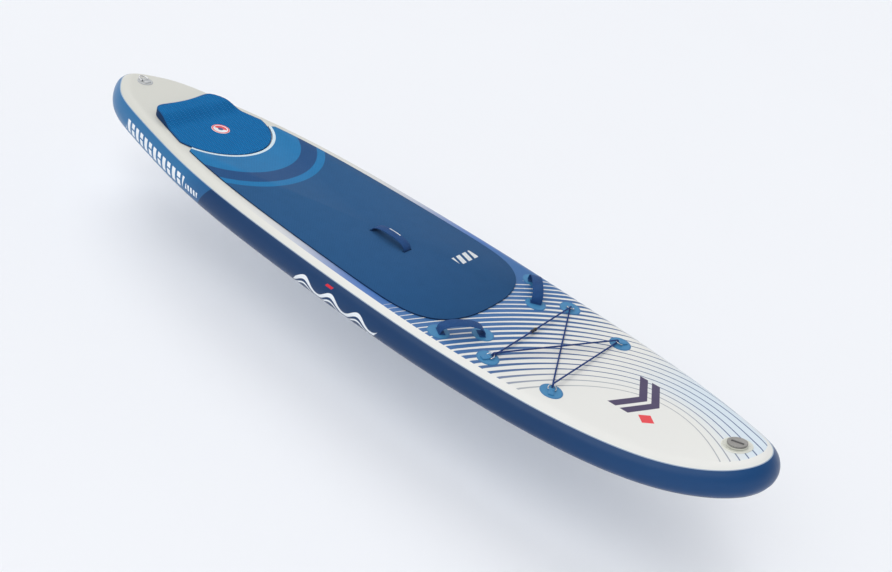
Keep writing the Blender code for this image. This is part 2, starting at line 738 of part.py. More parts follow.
def skin_hole_cutter():
    """The hole in the deck skin for the valve's barrel."""
    hole = cylinder_mesh("skin_hole", VALVE_BARREL + 0.001, -0.01, 0.01)
    return cutter("skin_hole", hole, valve_frame())


def valve_pocket_cutters():
    """The room in the core for the valve's barrel and for its nut."""
    frame = valve_frame()
    barrel = cylinder_mesh("valve_pocket", VALVE_BARREL + 0.002, -VALVE_DEPTH - 0.008, 0.02)
    nut = cylinder_mesh("nut_pocket", VALVE_NUT[0] + 0.001, VALVE_NUT_TOP - VALVE_NUT[1] - 0.001, 0.0199)
    return cutter("valve_pocket", barrel, frame), cutter("nut_pocket", nut, frame)


def valve():
    frame = valve_frame()
    draped_patch("valve_patch", VALVE_X, 0, VALVE_PATCH_RADIUS, "valve_clear", lift=VALVE_PATCH_LIFT,
                 hole=VALVE_BARREL + VALVE_PATCH_ROOM)
    flange_radius, flange = VALVE_FLANGE
    web_top, web = VALVE_WEB
    bottom = -VALVE_DEPTH
    housing = turned("valve_housing", [
        (VALVE_SOCKET, VALVE_FLANGE_Z + flange), (flange_radius - 0.001, VALVE_FLANGE_Z + flange),
        (flange_radius, VALVE_FLANGE_Z + flange * 0.6), (flange_radius, VALVE_FLANGE_Z),
        (VALVE_BARREL, VALVE_FLANGE_Z), (VALVE_BARREL, bottom), (POPPET[0] + POPPET_ROOM, bottom),
        (POPPET[0] + POPPET_ROOM, web_top - web), (STEM_RADIUS + VALVE_CLEAR, web_top - web),
        (STEM_RADIUS + VALVE_CLEAR, web_top), (VALVE_SOCKET, web_top)], "valve_clear", frame)
    middle = (STEM_RADIUS + VALVE_SOCKET) / 2 + 0.001
    for k in range(VALVE_WINDOWS):
        angle = 2 * math.pi * (k + 0.5) / VALVE_WINDOWS
        hole = cylinder_mesh(f"valve_window_{k}", VALVE_WINDOW_RADIUS, web_top - web - 0.001, web_top + 0.001, steps=12,
                             centre=(middle * math.cos(angle), middle * math.sin(angle)))
        cut(housing, cutter(f"valve_window_{k}", hole, frame))
    nut_radius, nut = VALVE_NUT
    turned("valve_nut", [
        (VALVE_BARREL + VALVE_CLEAR, VALVE_NUT_TOP), (nut_radius, VALVE_NUT_TOP),
        (nut_radius, VALVE_NUT_TOP - nut), (VALVE_BARREL + VALVE_CLEAR, VALVE_NUT_TOP - nut)], "valve_grey", frame)
    poppet_top = web_top - web - GAP - SEAL[1] - GAP
    turned("valve_stem", [
        (0, BUTTON_TOP), (BUTTON[0], BUTTON_TOP), (BUTTON[0], BUTTON_TOP - BUTTON[1]),
        (STEM_RADIUS, BUTTON_TOP - BUTTON[1]), (STEM_RADIUS, poppet_top), (POPPET[0], poppet_top),
        (POPPET[0], poppet_top - POPPET[1]), (0, poppet_top - POPPET[1])], "valve_grey", frame, steps=24)
    turned("valve_seal", [
        (STEM_RADIUS + VALVE_CLEAR, poppet_top + GAP + SEAL[1]), (SEAL[0], poppet_top + GAP + SEAL[1]),
        (SEAL[0], poppet_top + GAP), (STEM_RADIUS + VALVE_CLEAR, poppet_top + GAP)], "rubber", frame, steps=24)
    spring_top = BUTTON_TOP - BUTTON[1] - GAP - SPRING_WIRE
    spring_low = web_top + GAP + SPRING_WIRE
    per_turn = 12
    coil = []
    for k in range(SPRING_TURNS * per_turn + 1):
        share = k / (SPRING_TURNS * per_turn)
        angle = 2 * math.pi * k / per_turn
        coil.append((SPRING_RADIUS * math.cos(angle), SPRING_RADIUS * math.sin(angle),
                     spring_low + (spring_top - spring_low) * share))
    wire("valve_spring", coil, SPRING_WIRE, "steel", frame, sides=1)
    valve_cap(frame)


def valve_cap(frame):
    base = VALVE_FLANGE_Z + VALVE_FLANGE[1] + 2 * GASKET_WIRE + 2 * GAP
    top = base + CAP_HEIGHT
    plug = VALVE_SOCKET - VALVE_CLEAR
    cap = turned("valve_cap", [
        (0, top - 0.002), (CAP_RADIUS - 0.006, top - 0.002), (CAP_RADIUS - 0.0035, top), (CAP_RADIUS - 0.001, top - 0.0005),
        (CAP_RADIUS, top - 0.002), (CAP_RADIUS, base), (plug, base), (plug, -CAP_PLUG_DEPTH),
        (plug - CAP_PLUG_WALL, -CAP_PLUG_DEPTH), (plug - CAP_PLUG_WALL, base - 0.001), (0, base - 0.001)], "valve_grey", frame)
    grip = cutter("cap_grip", box_mesh("cap_grip", CAP_GRIP, (0, 0, top - 0.001)), frame)
    cut(cap, grip, "UNION")
    ring = VALVE_FLANGE[0] - 0.006
    turns = [2 * math.pi * k / 24 for k in range(24)]
    height = base - GAP - GASKET_WIRE
    wire("valve_gasket", [(ring * math.cos(a), ring * math.sin(a), height) for a in turns], GASKET_WIRE,
         "rubber", frame, cyclic=True)


# ---------------------------------------------------------------- fins

def fin_rings(root, tip, depth, rake, root_thickness, top):
    """Leaf-shaped sections from a fin's root down to its tip, for a loft."""
    rings = []
    for share in np.linspace(0, 1, 9):
        chord = root + (tip - root) * share**1.4
        thick = root_thickness + (FIN_TIP_THICKNESS - root_thickness) * share
        back = rake * share**1.5
        z = top - depth * math.sin(share * math.pi / 2)
        ring = []
        for k in range(12):
            angle = 2 * math.pi * k / 12
            ring.append((-back + chord / 2 * math.cos(angle), thick / 2 * math.sin(angle), z))
        rings.append(ring)
    return rings


def fins():
    x, length, width = FIN_BOX
    rail_height, rail_width = FIN_RAIL
    lip_height, lip_reach = FIN_LIP
    plate_low = -GAP - FIN_BOX_PLATE
    low = plate_low - rail_height
    # The box's end section: a plate with two rails whose lips hold the fin's base.
    half = width / 2
    inner = half - rail_width
    mouth = inner - lip_reach
    section = [(half, -GAP), (half, low), (mouth, low), (mouth, low + lip_height), (inner, low + lip_height),
               (inner, plate_low), (-inner, plate_low), (-inner, low + lip_height), (-mouth, low + lip_height),
               (-mouth, low), (-half, low), (-half, -GAP)]
    rings = [[(end, y, z) for y, z in section] for end in (-length / 2, length / 2)]
    box = add("fin_box", loft("fin_box", rings), "fin_plastic", Matrix.Translation((x, 0, 0)))
    stop_length = FIN_BOX_STOP - 0.001  # it ends just inside the box's end
    stop_height = rail_height + FIN_BOX_PLATE / 2
    stop = cutter("fin_box_stop", box_mesh("fin_box_stop", (stop_length, width - 0.001, stop_height),
                                           (length / 2 - FIN_BOX_STOP + stop_length / 2, 0, low + stop_height / 2)),
                  Matrix.Translation((x, 0, 0)))
    cut(box, stop, "UNION")
    centre_fin(x + length / 2 - FIN_BOX_STOP - FIN_CLEAR, inner - FIN_CLEAR, low + lip_height + FIN_CLEAR)
    for side, word in ((1, "port"), (-1, "starboard")):
        side_fin(f"side_fin_{word}", side)


def centre_fin(front, base_half, base_low):
    """The blade on its flat base, whose front end is at x = front, and the lever that locks it."""
    base_length, base_thick = FIN_BASE
    base_x = front - base_length / 2
    frame = Matrix.Translation((base_x, 0, 0))
    rings = fin_rings(FIN_ROOT, FIN_TIP, FIN_DEPTH, FIN_RAKE, FIN_NECK, base_low + base_thick / 2)
    fin = add("centre_fin", loft("centre_fin", rings), "fin_plastic", frame)
    base = cutter("fin_base", box_mesh("fin_base", (base_length, base_half * 2, base_thick),
                                       (0, 0, base_low + base_thick / 2)), frame)
    cut(fin, base, "UNION")
    length, width, thick = LOCK
    heel = thick / 2  # the lever's front end, ahead of its pivot
    pivot = Matrix.Translation((base_x - base_length / 2 - thick / 2 - FIN_CLEAR * 1.5, 0, base_low + base_thick / 2))
    lever = box_mesh("fin_lock", (length, width, thick), (heel - length / 2, 0, 0))
    add("fin_lock", lever, "black_plastic", pivot)


def side_fin(name, side):
    x, y = SIDE_FIN
    length, width, thick = SIDE_FIN_BASE
    frame = Matrix.Translation((x, side * y, -GAP))
    rings = fin_rings(SIDE_FIN_ROOT, SIDE_FIN_TIP, SIDE_FIN_DEPTH, SIDE_FIN_RAKE, SIDE_FIN_NECK, -thick / 2)
    fin = add(name, loft(name, rings), "fin_plastic", frame)
    base = cutter(f"{name}_base", box_mesh(f"{name}_base", (length, width, thick), (0, 0, -thick / 2)), frame)
    cut(fin, base, "UNION")


def build():
    drop_stitch_core()
    deck = flat_skin("deck_skin", DECK_ANGLES, 0, "deck_white")
    cut(deck, skin_hole_cutter())
    flat_skin("bottom_skin", BOTTOM_ANGLES, -1, "bottom_white")
    rail_band("rail_band_port", 1)
    rail_band("rail_band_starboard", -1)
    deck_pad()
    kick_pad()
    centre_handle()
    front_handle("front_handle_port", 1)
    front_handle("front_handle_starboard", -1)
    bungee(bungee_rings())
    leash_ring()
    valve()
    fins()


build()
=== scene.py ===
# %% [markdown]
# # A stand up paddleboard
# An inflatable board is a drop-stitch core under glued PVC skins. Foam pads, webbing handles, a bungee and
# a valve sit on its deck, and three fins hang under its tail. The CAD model fixes every place and joint;
# this lesson gives each piece its smooth shape and its finish.

# %% Load the frame
import math

import bmesh
import bpy
import numpy as np
from mathutils import Matrix, Vector


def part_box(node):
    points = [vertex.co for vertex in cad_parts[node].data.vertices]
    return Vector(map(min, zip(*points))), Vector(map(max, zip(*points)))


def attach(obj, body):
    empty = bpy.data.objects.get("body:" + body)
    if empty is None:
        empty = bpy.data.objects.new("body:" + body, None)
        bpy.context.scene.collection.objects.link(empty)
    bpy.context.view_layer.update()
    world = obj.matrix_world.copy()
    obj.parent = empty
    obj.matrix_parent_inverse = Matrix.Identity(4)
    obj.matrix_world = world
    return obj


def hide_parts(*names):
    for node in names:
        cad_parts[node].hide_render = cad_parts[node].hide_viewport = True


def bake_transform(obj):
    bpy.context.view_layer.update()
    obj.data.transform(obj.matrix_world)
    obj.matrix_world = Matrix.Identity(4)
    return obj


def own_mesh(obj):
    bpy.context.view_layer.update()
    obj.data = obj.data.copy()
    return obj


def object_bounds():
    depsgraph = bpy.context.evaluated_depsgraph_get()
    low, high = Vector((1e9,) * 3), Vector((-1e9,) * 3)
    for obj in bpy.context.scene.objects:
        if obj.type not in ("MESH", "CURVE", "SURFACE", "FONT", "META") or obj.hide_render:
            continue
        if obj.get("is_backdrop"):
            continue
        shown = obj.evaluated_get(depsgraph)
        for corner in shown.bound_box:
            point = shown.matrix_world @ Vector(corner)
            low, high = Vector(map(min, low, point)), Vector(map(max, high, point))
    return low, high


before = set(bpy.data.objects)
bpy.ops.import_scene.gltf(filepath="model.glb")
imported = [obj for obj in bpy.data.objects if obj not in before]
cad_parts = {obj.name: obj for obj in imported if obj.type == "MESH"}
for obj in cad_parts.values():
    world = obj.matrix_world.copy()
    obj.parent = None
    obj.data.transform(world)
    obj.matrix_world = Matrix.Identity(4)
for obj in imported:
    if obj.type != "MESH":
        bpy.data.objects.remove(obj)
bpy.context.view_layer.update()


def linked(name, data):
    """A new object in the scene, with this data."""
    obj = bpy.data.objects.new(name, data)
    bpy.context.scene.collection.objects.link(obj)
    return obj


def mesh_of(bm, name="shape", outward=True):
    """The mesh of a finished bmesh."""
    if outward:
        bmesh.ops.recalc_face_normals(bm, faces=bm.faces)
    mesh = bpy.data.meshes.new(name)
    bm.to_mesh(mesh)
    bm.free()
    return mesh


def applied(obj):
    """A plain copy of the object's mesh with its modifiers applied."""
    bpy.context.view_layer.update()
    return bpy.data.meshes.new_from_object(obj.evaluated_get(bpy.context.evaluated_depsgraph_get()))


# %% [markdown]
# ## Camera
# A long-ish lens from above the nose's near side shows the deck and the near rail. The place and the three
# axes of the camera are written as a matrix, because a board this long shows any small error in aim.

# %% Camera
right = Vector((0.77048, 0.57543, 0.27430))
up = Vector((-0.50435, 0.28712, 0.81437))
back = Vector((0.38986, -0.76579, 0.51144))
eye = linked("camera", bpy.data.cameras.new("camera"))
eye.data.sensor_width = 36
eye.data.lens = 50.67
axes = Matrix((right, up, back)).transposed().to_4x4()
eye.matrix_world = Matrix.Translation((1.8616, -3.2825, 2.2829)) @ axes
bpy.context.scene.camera = eye
bpy.context.scene.view_settings.view_transform = "Standard"
print("lens", eye.data.lens, "mm, looking down", round(math.degrees(math.asin(back.z)), 1), "degrees")

# %% [markdown]
# ## Shader sums
# A printed deck is mostly arithmetic on x and y. The class below wraps one socket, so that `a * b + 1` adds
# the Math nodes itself, and `node` adds any other node. Working this way keeps a pattern readable.

# %% Shader helper
class Socket:
    """A node's output. Arithmetic on it adds Math nodes to the same tree."""

    def __init__(self, tree, output=None):
        self.tree, self.output = tree, output

    def node(self, kind, settings=None, values=None, out=0):
        made = self.tree.nodes.new(kind)
        for name, value in (settings or {}).items():
            setattr(made, name, value)
        for name, value in (values or {}).items():
            if isinstance(value, Socket):
                self.tree.links.new(value.output, made.inputs[name])
            else:
                made.inputs[name].default_value = value
        return Socket(self.tree, made.outputs[out])

    def maths(self, operation, *values):
        return self.node("ShaderNodeMath", {"operation": operation}, dict(enumerate(values)))

    def __add__(self, other):
        return self.maths("ADD", self, other)

    def __sub__(self, other):
        return self.maths("SUBTRACT", self, other)

    def __rsub__(self, other):
        return self.maths("SUBTRACT", other, self)

    def __mul__(self, other):
        return self.maths("MULTIPLY", self, other)

    def __truediv__(self, other):
        return self.maths("DIVIDE", self, other)

    __radd__, __rmul__ = __add__, __mul__

    def sine(self):
        return self.maths("SINE", self)

    def size(self):
        return self.maths("ABSOLUTE", self)

    def root(self):
        return self.maths("SQRT", self)

    def fraction(self):
        return self.maths("FRACT", self)

    def most(self, other):
        return self.maths("MAXIMUM", self, other)

    def least(self, other):
        return self.maths("MINIMUM", self, other)

    def ramp(self, low, high, start=0.0, end=1.0, smooth=True):
        """From start, where this is low, to end, where it is high."""
        kind = "SMOOTHSTEP" if smooth else "LINEAR"
        return self.node("ShaderNodeMapRange", {"interpolation_type": kind},
                         {0: self, 1: low, 2: high, 3: start, 4: end})

    def inside(self, limit, soft=0.0006):
        """1 where this is under limit."""
        return self.ramp(limit - soft, limit + soft, 1.0, 0.0, smooth=False)

    def between(self, low, high, soft=0.001):
        """1 where this is from low to high."""
        return self.ramp(low, low + soft) * self.ramp(high, high + soft, 1, 0)

    def split(self):
        """The x, y and z of this vector."""
        made = self.node("ShaderNodeSeparateXYZ", {}, {0: self})
        return [Socket(self.tree, output) for output in made.output.node.outputs]


def mixed(a, b, share):
    """Colour a where share is 0, b where it is 1. Colours are sockets or three linear numbers."""
    values = {0: share}
    for place, colour in ((6, a), (7, b)):
        values[place] = colour if isinstance(colour, Socket) else (*colour, 1)
    return share.node("ShaderNodeMix", {"data_type": "RGBA"}, values, out=2)


def linear(*colour):
    """Linear numbers of a screen colour given from 0 to 255."""
    shares = [c / 255 for c in colour]
    return tuple(s / 12.92 if s <= 0.04045 else ((s + 0.055) / 1.055) ** 2.4 for s in shares)


def finish_of(name, roughness=0.5, **constants):
    """A new material, a Socket to build on, and a function that fills the shader's sockets."""
    made = bpy.data.materials.new(name)
    made.use_nodes = True
    tree = made.node_tree
    shader = tree.nodes["Principled BSDF"]
    shader.inputs["Roughness"].default_value = roughness
    for socket, value in constants.items():
        shader.inputs[socket.replace("_", " ")].default_value = value

    def fill(height=None, strength=0.3, distance=0.001, **sockets):
        for socket, value in sockets.items():
            target = shader.inputs[socket.replace("_", " ")]
            if isinstance(value, Socket):
                tree.links.new(value.output, target)
            else:
                target.default_value = (*value, 1) if isinstance(value, tuple) else value
        if height is not None:
            bump = height.node("ShaderNodeBump", {}, {"Height": height, "Strength": strength,
                                                      "Distance": distance})
            tree.links.new(bump.output, shader.inputs["Normal"])
        return made

    return Socket(tree), fill


def place_of(paint, out=3):
    """Object coordinates: the whole vector, and its x, y and z."""
    whole = paint.node("ShaderNodeTexCoord", out=out)
    return (whole, *whole.split())


def uv_of(paint):
    return paint.node("ShaderNodeTexCoord", out=2).split()[:2]


def noise(paint, where, scale, detail=3.0, roughness=0.5):
    return paint.node("ShaderNodeTexNoise", {}, {"Vector": where, "Scale": scale, "Detail": detail,
                                                 "Roughness": roughness})


def clouded(name, dark, pale, cloud, roughness=0.5, wear=None, grain=None, strength=0.3, distance=0.0003,
            **constants):
    """A finish that drifts between two screen colours. cloud and grain are the scale and detail of the noise
    in its colour and its bump. wear is a roughness noise: scale, detail, what it adds, least roughness."""
    paint, fill = finish_of(name, roughness, **constants)
    where = place_of(paint)[0]
    sockets = {"Base_Color": mixed(linear(*dark), linear(*pale), noise(paint, where, *cloud))}
    if wear:
        scale, detail, spread, least = wear
        sockets["Roughness"] = noise(paint, where, scale, detail) * spread + least
    if grain:
        sockets["height"] = noise(paint, where, *grain)
    return fill(strength=strength, distance=distance, **sockets)


print("shader helper ready")

# %% [markdown]
# ## Room
# A studio shot on a pale sweep: a dome, bright at the horizon, fills every side, and two broad suns share
# the rest. The one from behind the tail gives the soft shadow that slides out under the near rail. The one
# from the front lights that shadow up again, and a long soft box puts a sheen on the rail. The floor is one
# big disc, a little darker than paper white, so that all the light adds up to the pale sweep.

# %% Floor
FLOOR_Z = -0.30
disc = bmesh.new()
bmesh.ops.create_circle(disc, cap_ends=True, segments=96, radius=60)
floor = linked("studio_floor", mesh_of(disc, "studio_floor", outward=False))
floor.location.z = FLOOR_Z
floor.data.materials.append(clouded("studio_sweep", (238, 241, 246), (241, 244, 249), (0.4,), 0.95,
                                    Specular_IOR_Level=0.0))
floor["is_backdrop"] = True
print("floor at", FLOOR_Z)

# %% Lights
world = bpy.data.worlds.new("studio_dome")
bpy.context.scene.world = world
world.use_nodes = True
dome = world.node_tree.nodes["Background"]
dome.inputs["Color"].default_value = (*linear(250, 250, 252), 1)
sky = Socket(world.node_tree)
height = place_of(sky, out=0)[3]
world.node_tree.links.new(height.ramp(0.0, 0.62, 0.98, 0.49).output, dome.inputs["Strength"])


def lamp(name, kind, energy, place, target, **settings):
    data = bpy.data.lights.new(name, kind)
    data.energy = energy
    for setting, value in settings.items():
        setattr(data, setting, value)
    obj = linked(name, data)
    obj.location = place
    obj.rotation_mode = "QUATERNION"
    obj.rotation_quaternion = (Vector(target) - Vector(place)).to_track_quat("-Z", "Y")


lamp("rear_sun", "SUN", 0.85, (-3.6, 2.2, 5.0), (0, 0, 0), angle=math.radians(42), color=(1, 0.99, 0.98))
lamp("front_sun", "SUN", 1.15, (-0.5, -3.2, 4.5), (0, 0, 0), angle=math.radians(60), color=(1, 0.985, 0.965))
lamp("rail_box", "AREA", 6, (1.2, -4.2, 2.6), (0.2, 0, 0.05), shape="RECTANGLE", size=5.0, size_y=1.2)

# %% [markdown]
# ## The hull's form
# The board is drawn straight: a flat outline, with a rail of one radius that turns about it. `bend` then
# lifts the nose. The outline is a smooth curve through shares of the width at even steps of angle, which
# puts most points at the two round ends. These sizes are the CAD model's own.

# %% Outline and bend
LENGTH, WIDTH, THICKNESS = 2.896, 0.762, 0.120
RAIL = THICKNESS / 2
TIP = LENGTH / 2 - RAIL
OUTLINE = (0, 0.130, 0.338, 0.493, 0.646, 0.799, 0.902, 0.959, 0.993,
           1.0, 0.968, 0.903, 0.793, 0.631, 0.427, 0.221, 0)


def natural_spline(values):
    """Second derivatives of the smooth curve through evenly spaced values."""
    count = len(values)
    matrix, right_side = np.eye(count), np.zeros(count)
    for i in range(1, count - 1):
        matrix[i, i - 1:i + 2] = (1, 4, 1)
        right_side[i] = 6 * (values[i - 1] - 2 * values[i] + values[i + 1])
    return np.linalg.solve(matrix, right_side)


BENDS = natural_spline(OUTLINE)


def outline_share(angle):
    place = min(max(angle / math.pi, 0), 1) * (len(OUTLINE) - 1)
    i = min(int(place), len(OUTLINE) - 2)
    b = place - i
    a = 1 - b
    return a * OUTLINE[i] + b * OUTLINE[i + 1] + ((a**3 - a) * BENDS[i] + (b**3 - b) * BENDS[i + 1]) / 6


def inset_point(angle, side):
    """Point that the rail turns about, and its outward direction in plan."""
    small, half = 1e-4, WIDTH / 2 - RAIL
    slope = half * (outline_share(angle + small) - outline_share(angle - small)) / (2 * small)
    if angle < small or angle > math.pi - small:
        slope = half * (1 if angle < 1 else -1)
    along = TIP * math.sin(angle)
    size = math.hypot(along, slope)
    return -TIP * math.cos(angle), side * half * outline_share(angle), -slope / size, side * along / size


def inset_width(x):
    return (WIDTH / 2 - RAIL) * outline_share(math.acos(min(max(-x / TIP, -1), 1)))


ROCKER_START, GENTLE, STEEP = 0.3, 0.045, 0.047  # where the nose starts to lift, and its two rises


def rocker(x):
    """Lift and slope of the hull's middle at x."""
    reach = TIP - ROCKER_START
    share = min(max((x - ROCKER_START) / reach, 0), 1)
    return GENTLE * share**2 + STEEP * share**8, (2 * GENTLE * share + 8 * STEEP * share**7) / reach


def bend(x, y, z):
    at = min(x, TIP)
    lift, slope = rocker(at)
    along = Vector((1, 0, slope)).normalized()
    return Vector((at, y, RAIL + lift)) + along * (x - at) + Vector((-along.z, 0, along.x)) * (z - RAIL)


def rail_point(place, angle, radius):
    x, y, nx, ny = place
    reach = radius * math.sin(angle)
    return bend(x + nx * reach, y + ny * reach, RAIL + radius * math.cos(angle))


def deck_frame(x, y, turn=0.0, height=0.0):
    """A place on the deck: Z out of it, X turned from the nose's direction."""
    tilt = Matrix.Rotation(-math.atan(rocker(x)[1]), 4, "Y")
    return Matrix.Translation(bend(x, y, THICKNESS + height)) @ tilt @ Matrix.Rotation(turn, 4, "Z")


print("half width amidships", round(inset_width(0) + RAIL, 4), "nose lift", round(rocker(TIP)[0], 4))

# %% [markdown]
# ## Making pieces
# Most pieces here are surfaces through rows of points: skins, straps, cords, rings and fins. One function
# builds them, with UVs in metres where a weave follows the surface. Another puts a finished mesh on its
# body.

# %% Surfaces and pieces
def surface(rows, around=False, along=False, caps=False, uv=None, merged=False):
    """A mesh through rows of points. around closes each row, along joins the last row to the first, and
    merged closes the seam where a row has folded on to itself."""
    bm = bmesh.new()
    made = [[bm.verts.new(point) for point in row] for row in rows]
    layer = bm.loops.layers.uv.new("UVMap")
    n, m = len(rows), len(rows[0])
    for i in range(n if along else n - 1):
        for j in range(m if around else m - 1):
            corners = ((i, j), (i, j + 1), (i + 1, j + 1), (i + 1, j))
            face = bm.faces.new([made[a % n][b % m] for a, b in corners])
            for loop, (a, b) in zip(face.loops, corners):
                loop[layer].uv = uv(a, b) if uv else (0, 0)
    if caps:
        bm.faces.new(made[0])
        bm.faces.new(made[-1])
    if merged:
        bmesh.ops.remove_doubles(bm, verts=bm.verts, dist=1e-6)
    return mesh_of(bm)


def moved(mesh, matrix):
    mesh.transform(matrix)
    return mesh


def joined(*meshes):
    """Several meshes as one."""
    bm = bmesh.new()
    for mesh in meshes:
        bm.from_mesh(mesh)
    return mesh_of(bm, outward=False)


def block(size, centre, bevel=0.0, segments=2):
    """A box with its edges rounded by bevel."""
    bm = bmesh.new()
    bmesh.ops.create_cube(bm, size=1, matrix=Matrix.Translation(centre) @ Matrix.Diagonal((*size, 1)))
    if bevel:
        bmesh.ops.bevel(bm, geom=bm.edges[:], offset=bevel, segments=segments, affect="EDGES")
    return mesh_of(bm, outward=False)


def piece(name, mesh, finish, body="hull", stands_for=(), crease=40, ride=True):
    """Names a finished mesh, gives it its finish, and puts it on its body."""
    mesh.name = name
    obj = linked(name, mesh)
    if not mesh.materials:
        mesh.materials.append(finish)
    mesh.shade_smooth()
    mesh.set_sharp_from_angle(angle=math.radians(crease))
    if ride:
        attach(obj, body)
    if stands_for:
        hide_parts(*stands_for)
    return obj


def turned(profile, matrix, steps=72):
    """A closed profile of (radius, z) turned about Z. Points on the axis close it."""
    on_axis = profile[0][0] == 0
    rows = [[(r * math.cos(a), r * math.sin(a), z) for r, z in profile if r > 0]
            for a in (2 * math.pi * k / steps for k in range(steps))]
    bm = bmesh.new()
    made = [[bm.verts.new(point) for point in row] for row in rows]
    m = len(rows[0])
    for i in range(steps):
        here, after = made[i], made[(i + 1) % steps]
        for j in range(m - 1 if on_axis else m):
            bm.faces.new((here[j], here[(j + 1) % m], after[(j + 1) % m], after[j]))
    if on_axis:
        bm.faces.new([row[0] for row in made])
        bm.faces.new([row[-1] for row in made])
    return moved(mesh_of(bm), matrix)


def tube(points, radius, sides=10, cyclic=False):
    """A round cord through points. Its UVs are metres along and metres round."""
    path = [Vector(p) for p in points]
    count = len(path)
    rows, run = [], [0.0]
    across = None
    for i, point in enumerate(path):
        ahead = path[(i + 1) % count] if cyclic or i < count - 1 else point
        behind = path[i - 1] if cyclic or i else point
        along = (ahead - behind).normalized()
        across = along.orthogonal() if across is None else across - along * across.dot(along)
        across.normalize()
        over = along.cross(across)
        rows.append([point + (across * math.cos(a) + over * math.sin(a)) * radius
                     for a in (2 * math.pi * k / sides for k in range(sides))])
        run.append(run[-1] + (path[(i + 1) % count] - point).length)
    girth = 2 * math.pi * radius
    return surface(rows, around=True, along=cyclic, caps=not cyclic,
                   uv=lambda i, j: (run[i], girth * j / sides))


def ribbon(path, width, thickness):
    """Webbing along a path of (x, z), with rounded edges. Its UVs are metres across and along."""
    rows, run = [], [0.0]
    w, soft = width / 2, min(thickness, width) / 2
    ring = ((-w + soft, 1), (0, 1), (w - soft, 1), (w - 0.3 * soft, 0.7), (w, 0), (w - 0.3 * soft, -0.7))
    ring += tuple((-y, -lift) for y, lift in ring)
    for i, (x, z) in enumerate(path):
        a, b = path[max(i - 1, 0)], path[min(i + 1, len(path) - 1)]
        along = Vector((b[0] - a[0], 0, b[1] - a[1])).normalized()
        out = Vector((-along.z, 0, along.x)) * thickness / 2
        rows.append([Vector((x, y, z)) + out * lift for y, lift in ring])
        run.append(run[-1] + math.hypot(b[0] - x, b[1] - z))
    across = [p.y for p in rows[0]] + [rows[0][0].y]
    return surface(rows, around=True, caps=True, uv=lambda i, j: (across[j], run[i]))


print("surface, turned, tube and ribbon ready")

# %% [markdown]
# ## Printed deck skin
# The deck skin is one sheet of coated fabric that covers the flat and turns a little way over the rail. It
# is a lattice of rows from the tail to the nose. Its UV holds how far each point is from the skin's edge,
# so that the white margin of the print can follow the outline. The print is arithmetic: nested curves
# counted by `ring`.

# %% Deck skin
DECK_EDGE, BOTTOM_EDGE = math.radians(39), math.radians(141)
SKIN = 0.0014
STATIONS = 220
ROUND = [DECK_EDGE * k / 7 for k in range(8)]
outline = np.array([inset_point(math.pi * k / 1500, 1)[:2] for k in range(1501)])


def from_edge(x, y):
    """How far a point of the flat is from the skin's edge, in plan."""
    away = np.hypot(outline[:, 0] - x, outline[:, 1] - abs(y)).min()
    return float(away) + RAIL * math.sin(DECK_EDGE)


def skin_rows(first, middle, radii, flat_steps=22):
    """Rows of a skin that covers the flat, port edge to starboard edge, then back on the inside."""
    rows = []
    for i in range(STATIONS + 1):
        port, starboard = (inset_point(math.pi * i / STATIONS, side) for side in (1, -1))
        both = []
        for radius in radii:
            row = [rail_point(port, a, radius) for a in first]
            a, b = (rail_point(p, middle, radius) for p in (port, starboard))
            row += [a.lerp(b, k / flat_steps) for k in range(flat_steps + 1)]
            row += [rail_point(starboard, a, radius) for a in reversed(first)]
            both.append(row)
        rows.append(both[0] + list(reversed(both[1])))
    return rows


deck_rows = skin_rows(ROUND[:0:-1], 0.0, (RAIL, RAIL - SKIN))
width_steps = len(deck_rows[0]) // 2
margins = []
for row in deck_rows:
    line = []
    for j, point in enumerate(row[:width_steps]):
        turn = min(j, width_steps - 1 - j)
        edge = RAIL * (math.sin(DECK_EDGE) - math.sin(ROUND[7 - turn])) if turn < 7 else None
        line.append(from_edge(point.x, point.y) if edge is None else edge)
    margins.append(line + line[::-1])
deck_mesh = surface(deck_rows, around=True, merged=True,
                    uv=lambda i, j: (margins[i][j % len(deck_rows[0])], 0))
print("deck skin", len(deck_mesh.polygons), "faces")

# %% Deck print
paint, fill = finish_of("printed_deck_pvc", 0.42, Specular_IOR_Level=0.3, Coat_Weight=0.05,
                        Coat_Roughness=0.3)
where, x, y, _ = place_of(paint)
margin = uv_of(paint)[0]
printed = margin - y.ramp(-0.05, 0.12, 0.025, 0.007) - x.ramp(1.05, 1.36, 0.0, 0.004)
printed = printed.ramp(-0.0006, 0.0006)
ahead = x - 1.045
ahead = ahead + 0.29 * ahead * ahead * ahead - 0.055 * ahead.most(0.0)
level = y + 0.1975
ring = ((level + (level * level + 2.416 * ahead * ahead).root()) / 1.208 - 0.385) / 0.048
solid = (x - 0.35 * y).ramp(0.22, 0.27, 1.0, 0.0)
share = x.ramp(0.32, 0.82, 0.80, 0.14) + x.ramp(0.12, 0.34, 0.16, 0.0) + solid
off_line = ((ring + 0.5).fraction() - 0.5).size()
line = (off_line - share * 0.5).ramp(-0.008, 0.008, 1.0, 0.0) * ring.ramp(-0.5, -0.45)
tail_fade = x.ramp(-0.62, 0.02)
white = mixed(linear(206, 207, 200), linear(226, 227, 224), x.ramp(-1.2, 0.3))
tinted = mixed(white, linear(210, 223, 233), ring.ramp(0.0, 4.5) * x.ramp(0.80, 1.12) * printed)
blue = mixed(linear(48, 102, 160), linear(46, 82, 132), x.ramp(0.35, 0.85))
blue = mixed(linear(172, 176, 180), blue, ring.ramp(-0.5, 3.5) * 0.92 + x.ramp(0.5, 0.9, 0.08, 0.0))
side_tint = mixed(linear(188, 193, 206), linear(64, 112, 182), x.ramp(-0.42, 0.12))
blue = mixed(side_tint, blue, x.ramp(0.05, 0.30))
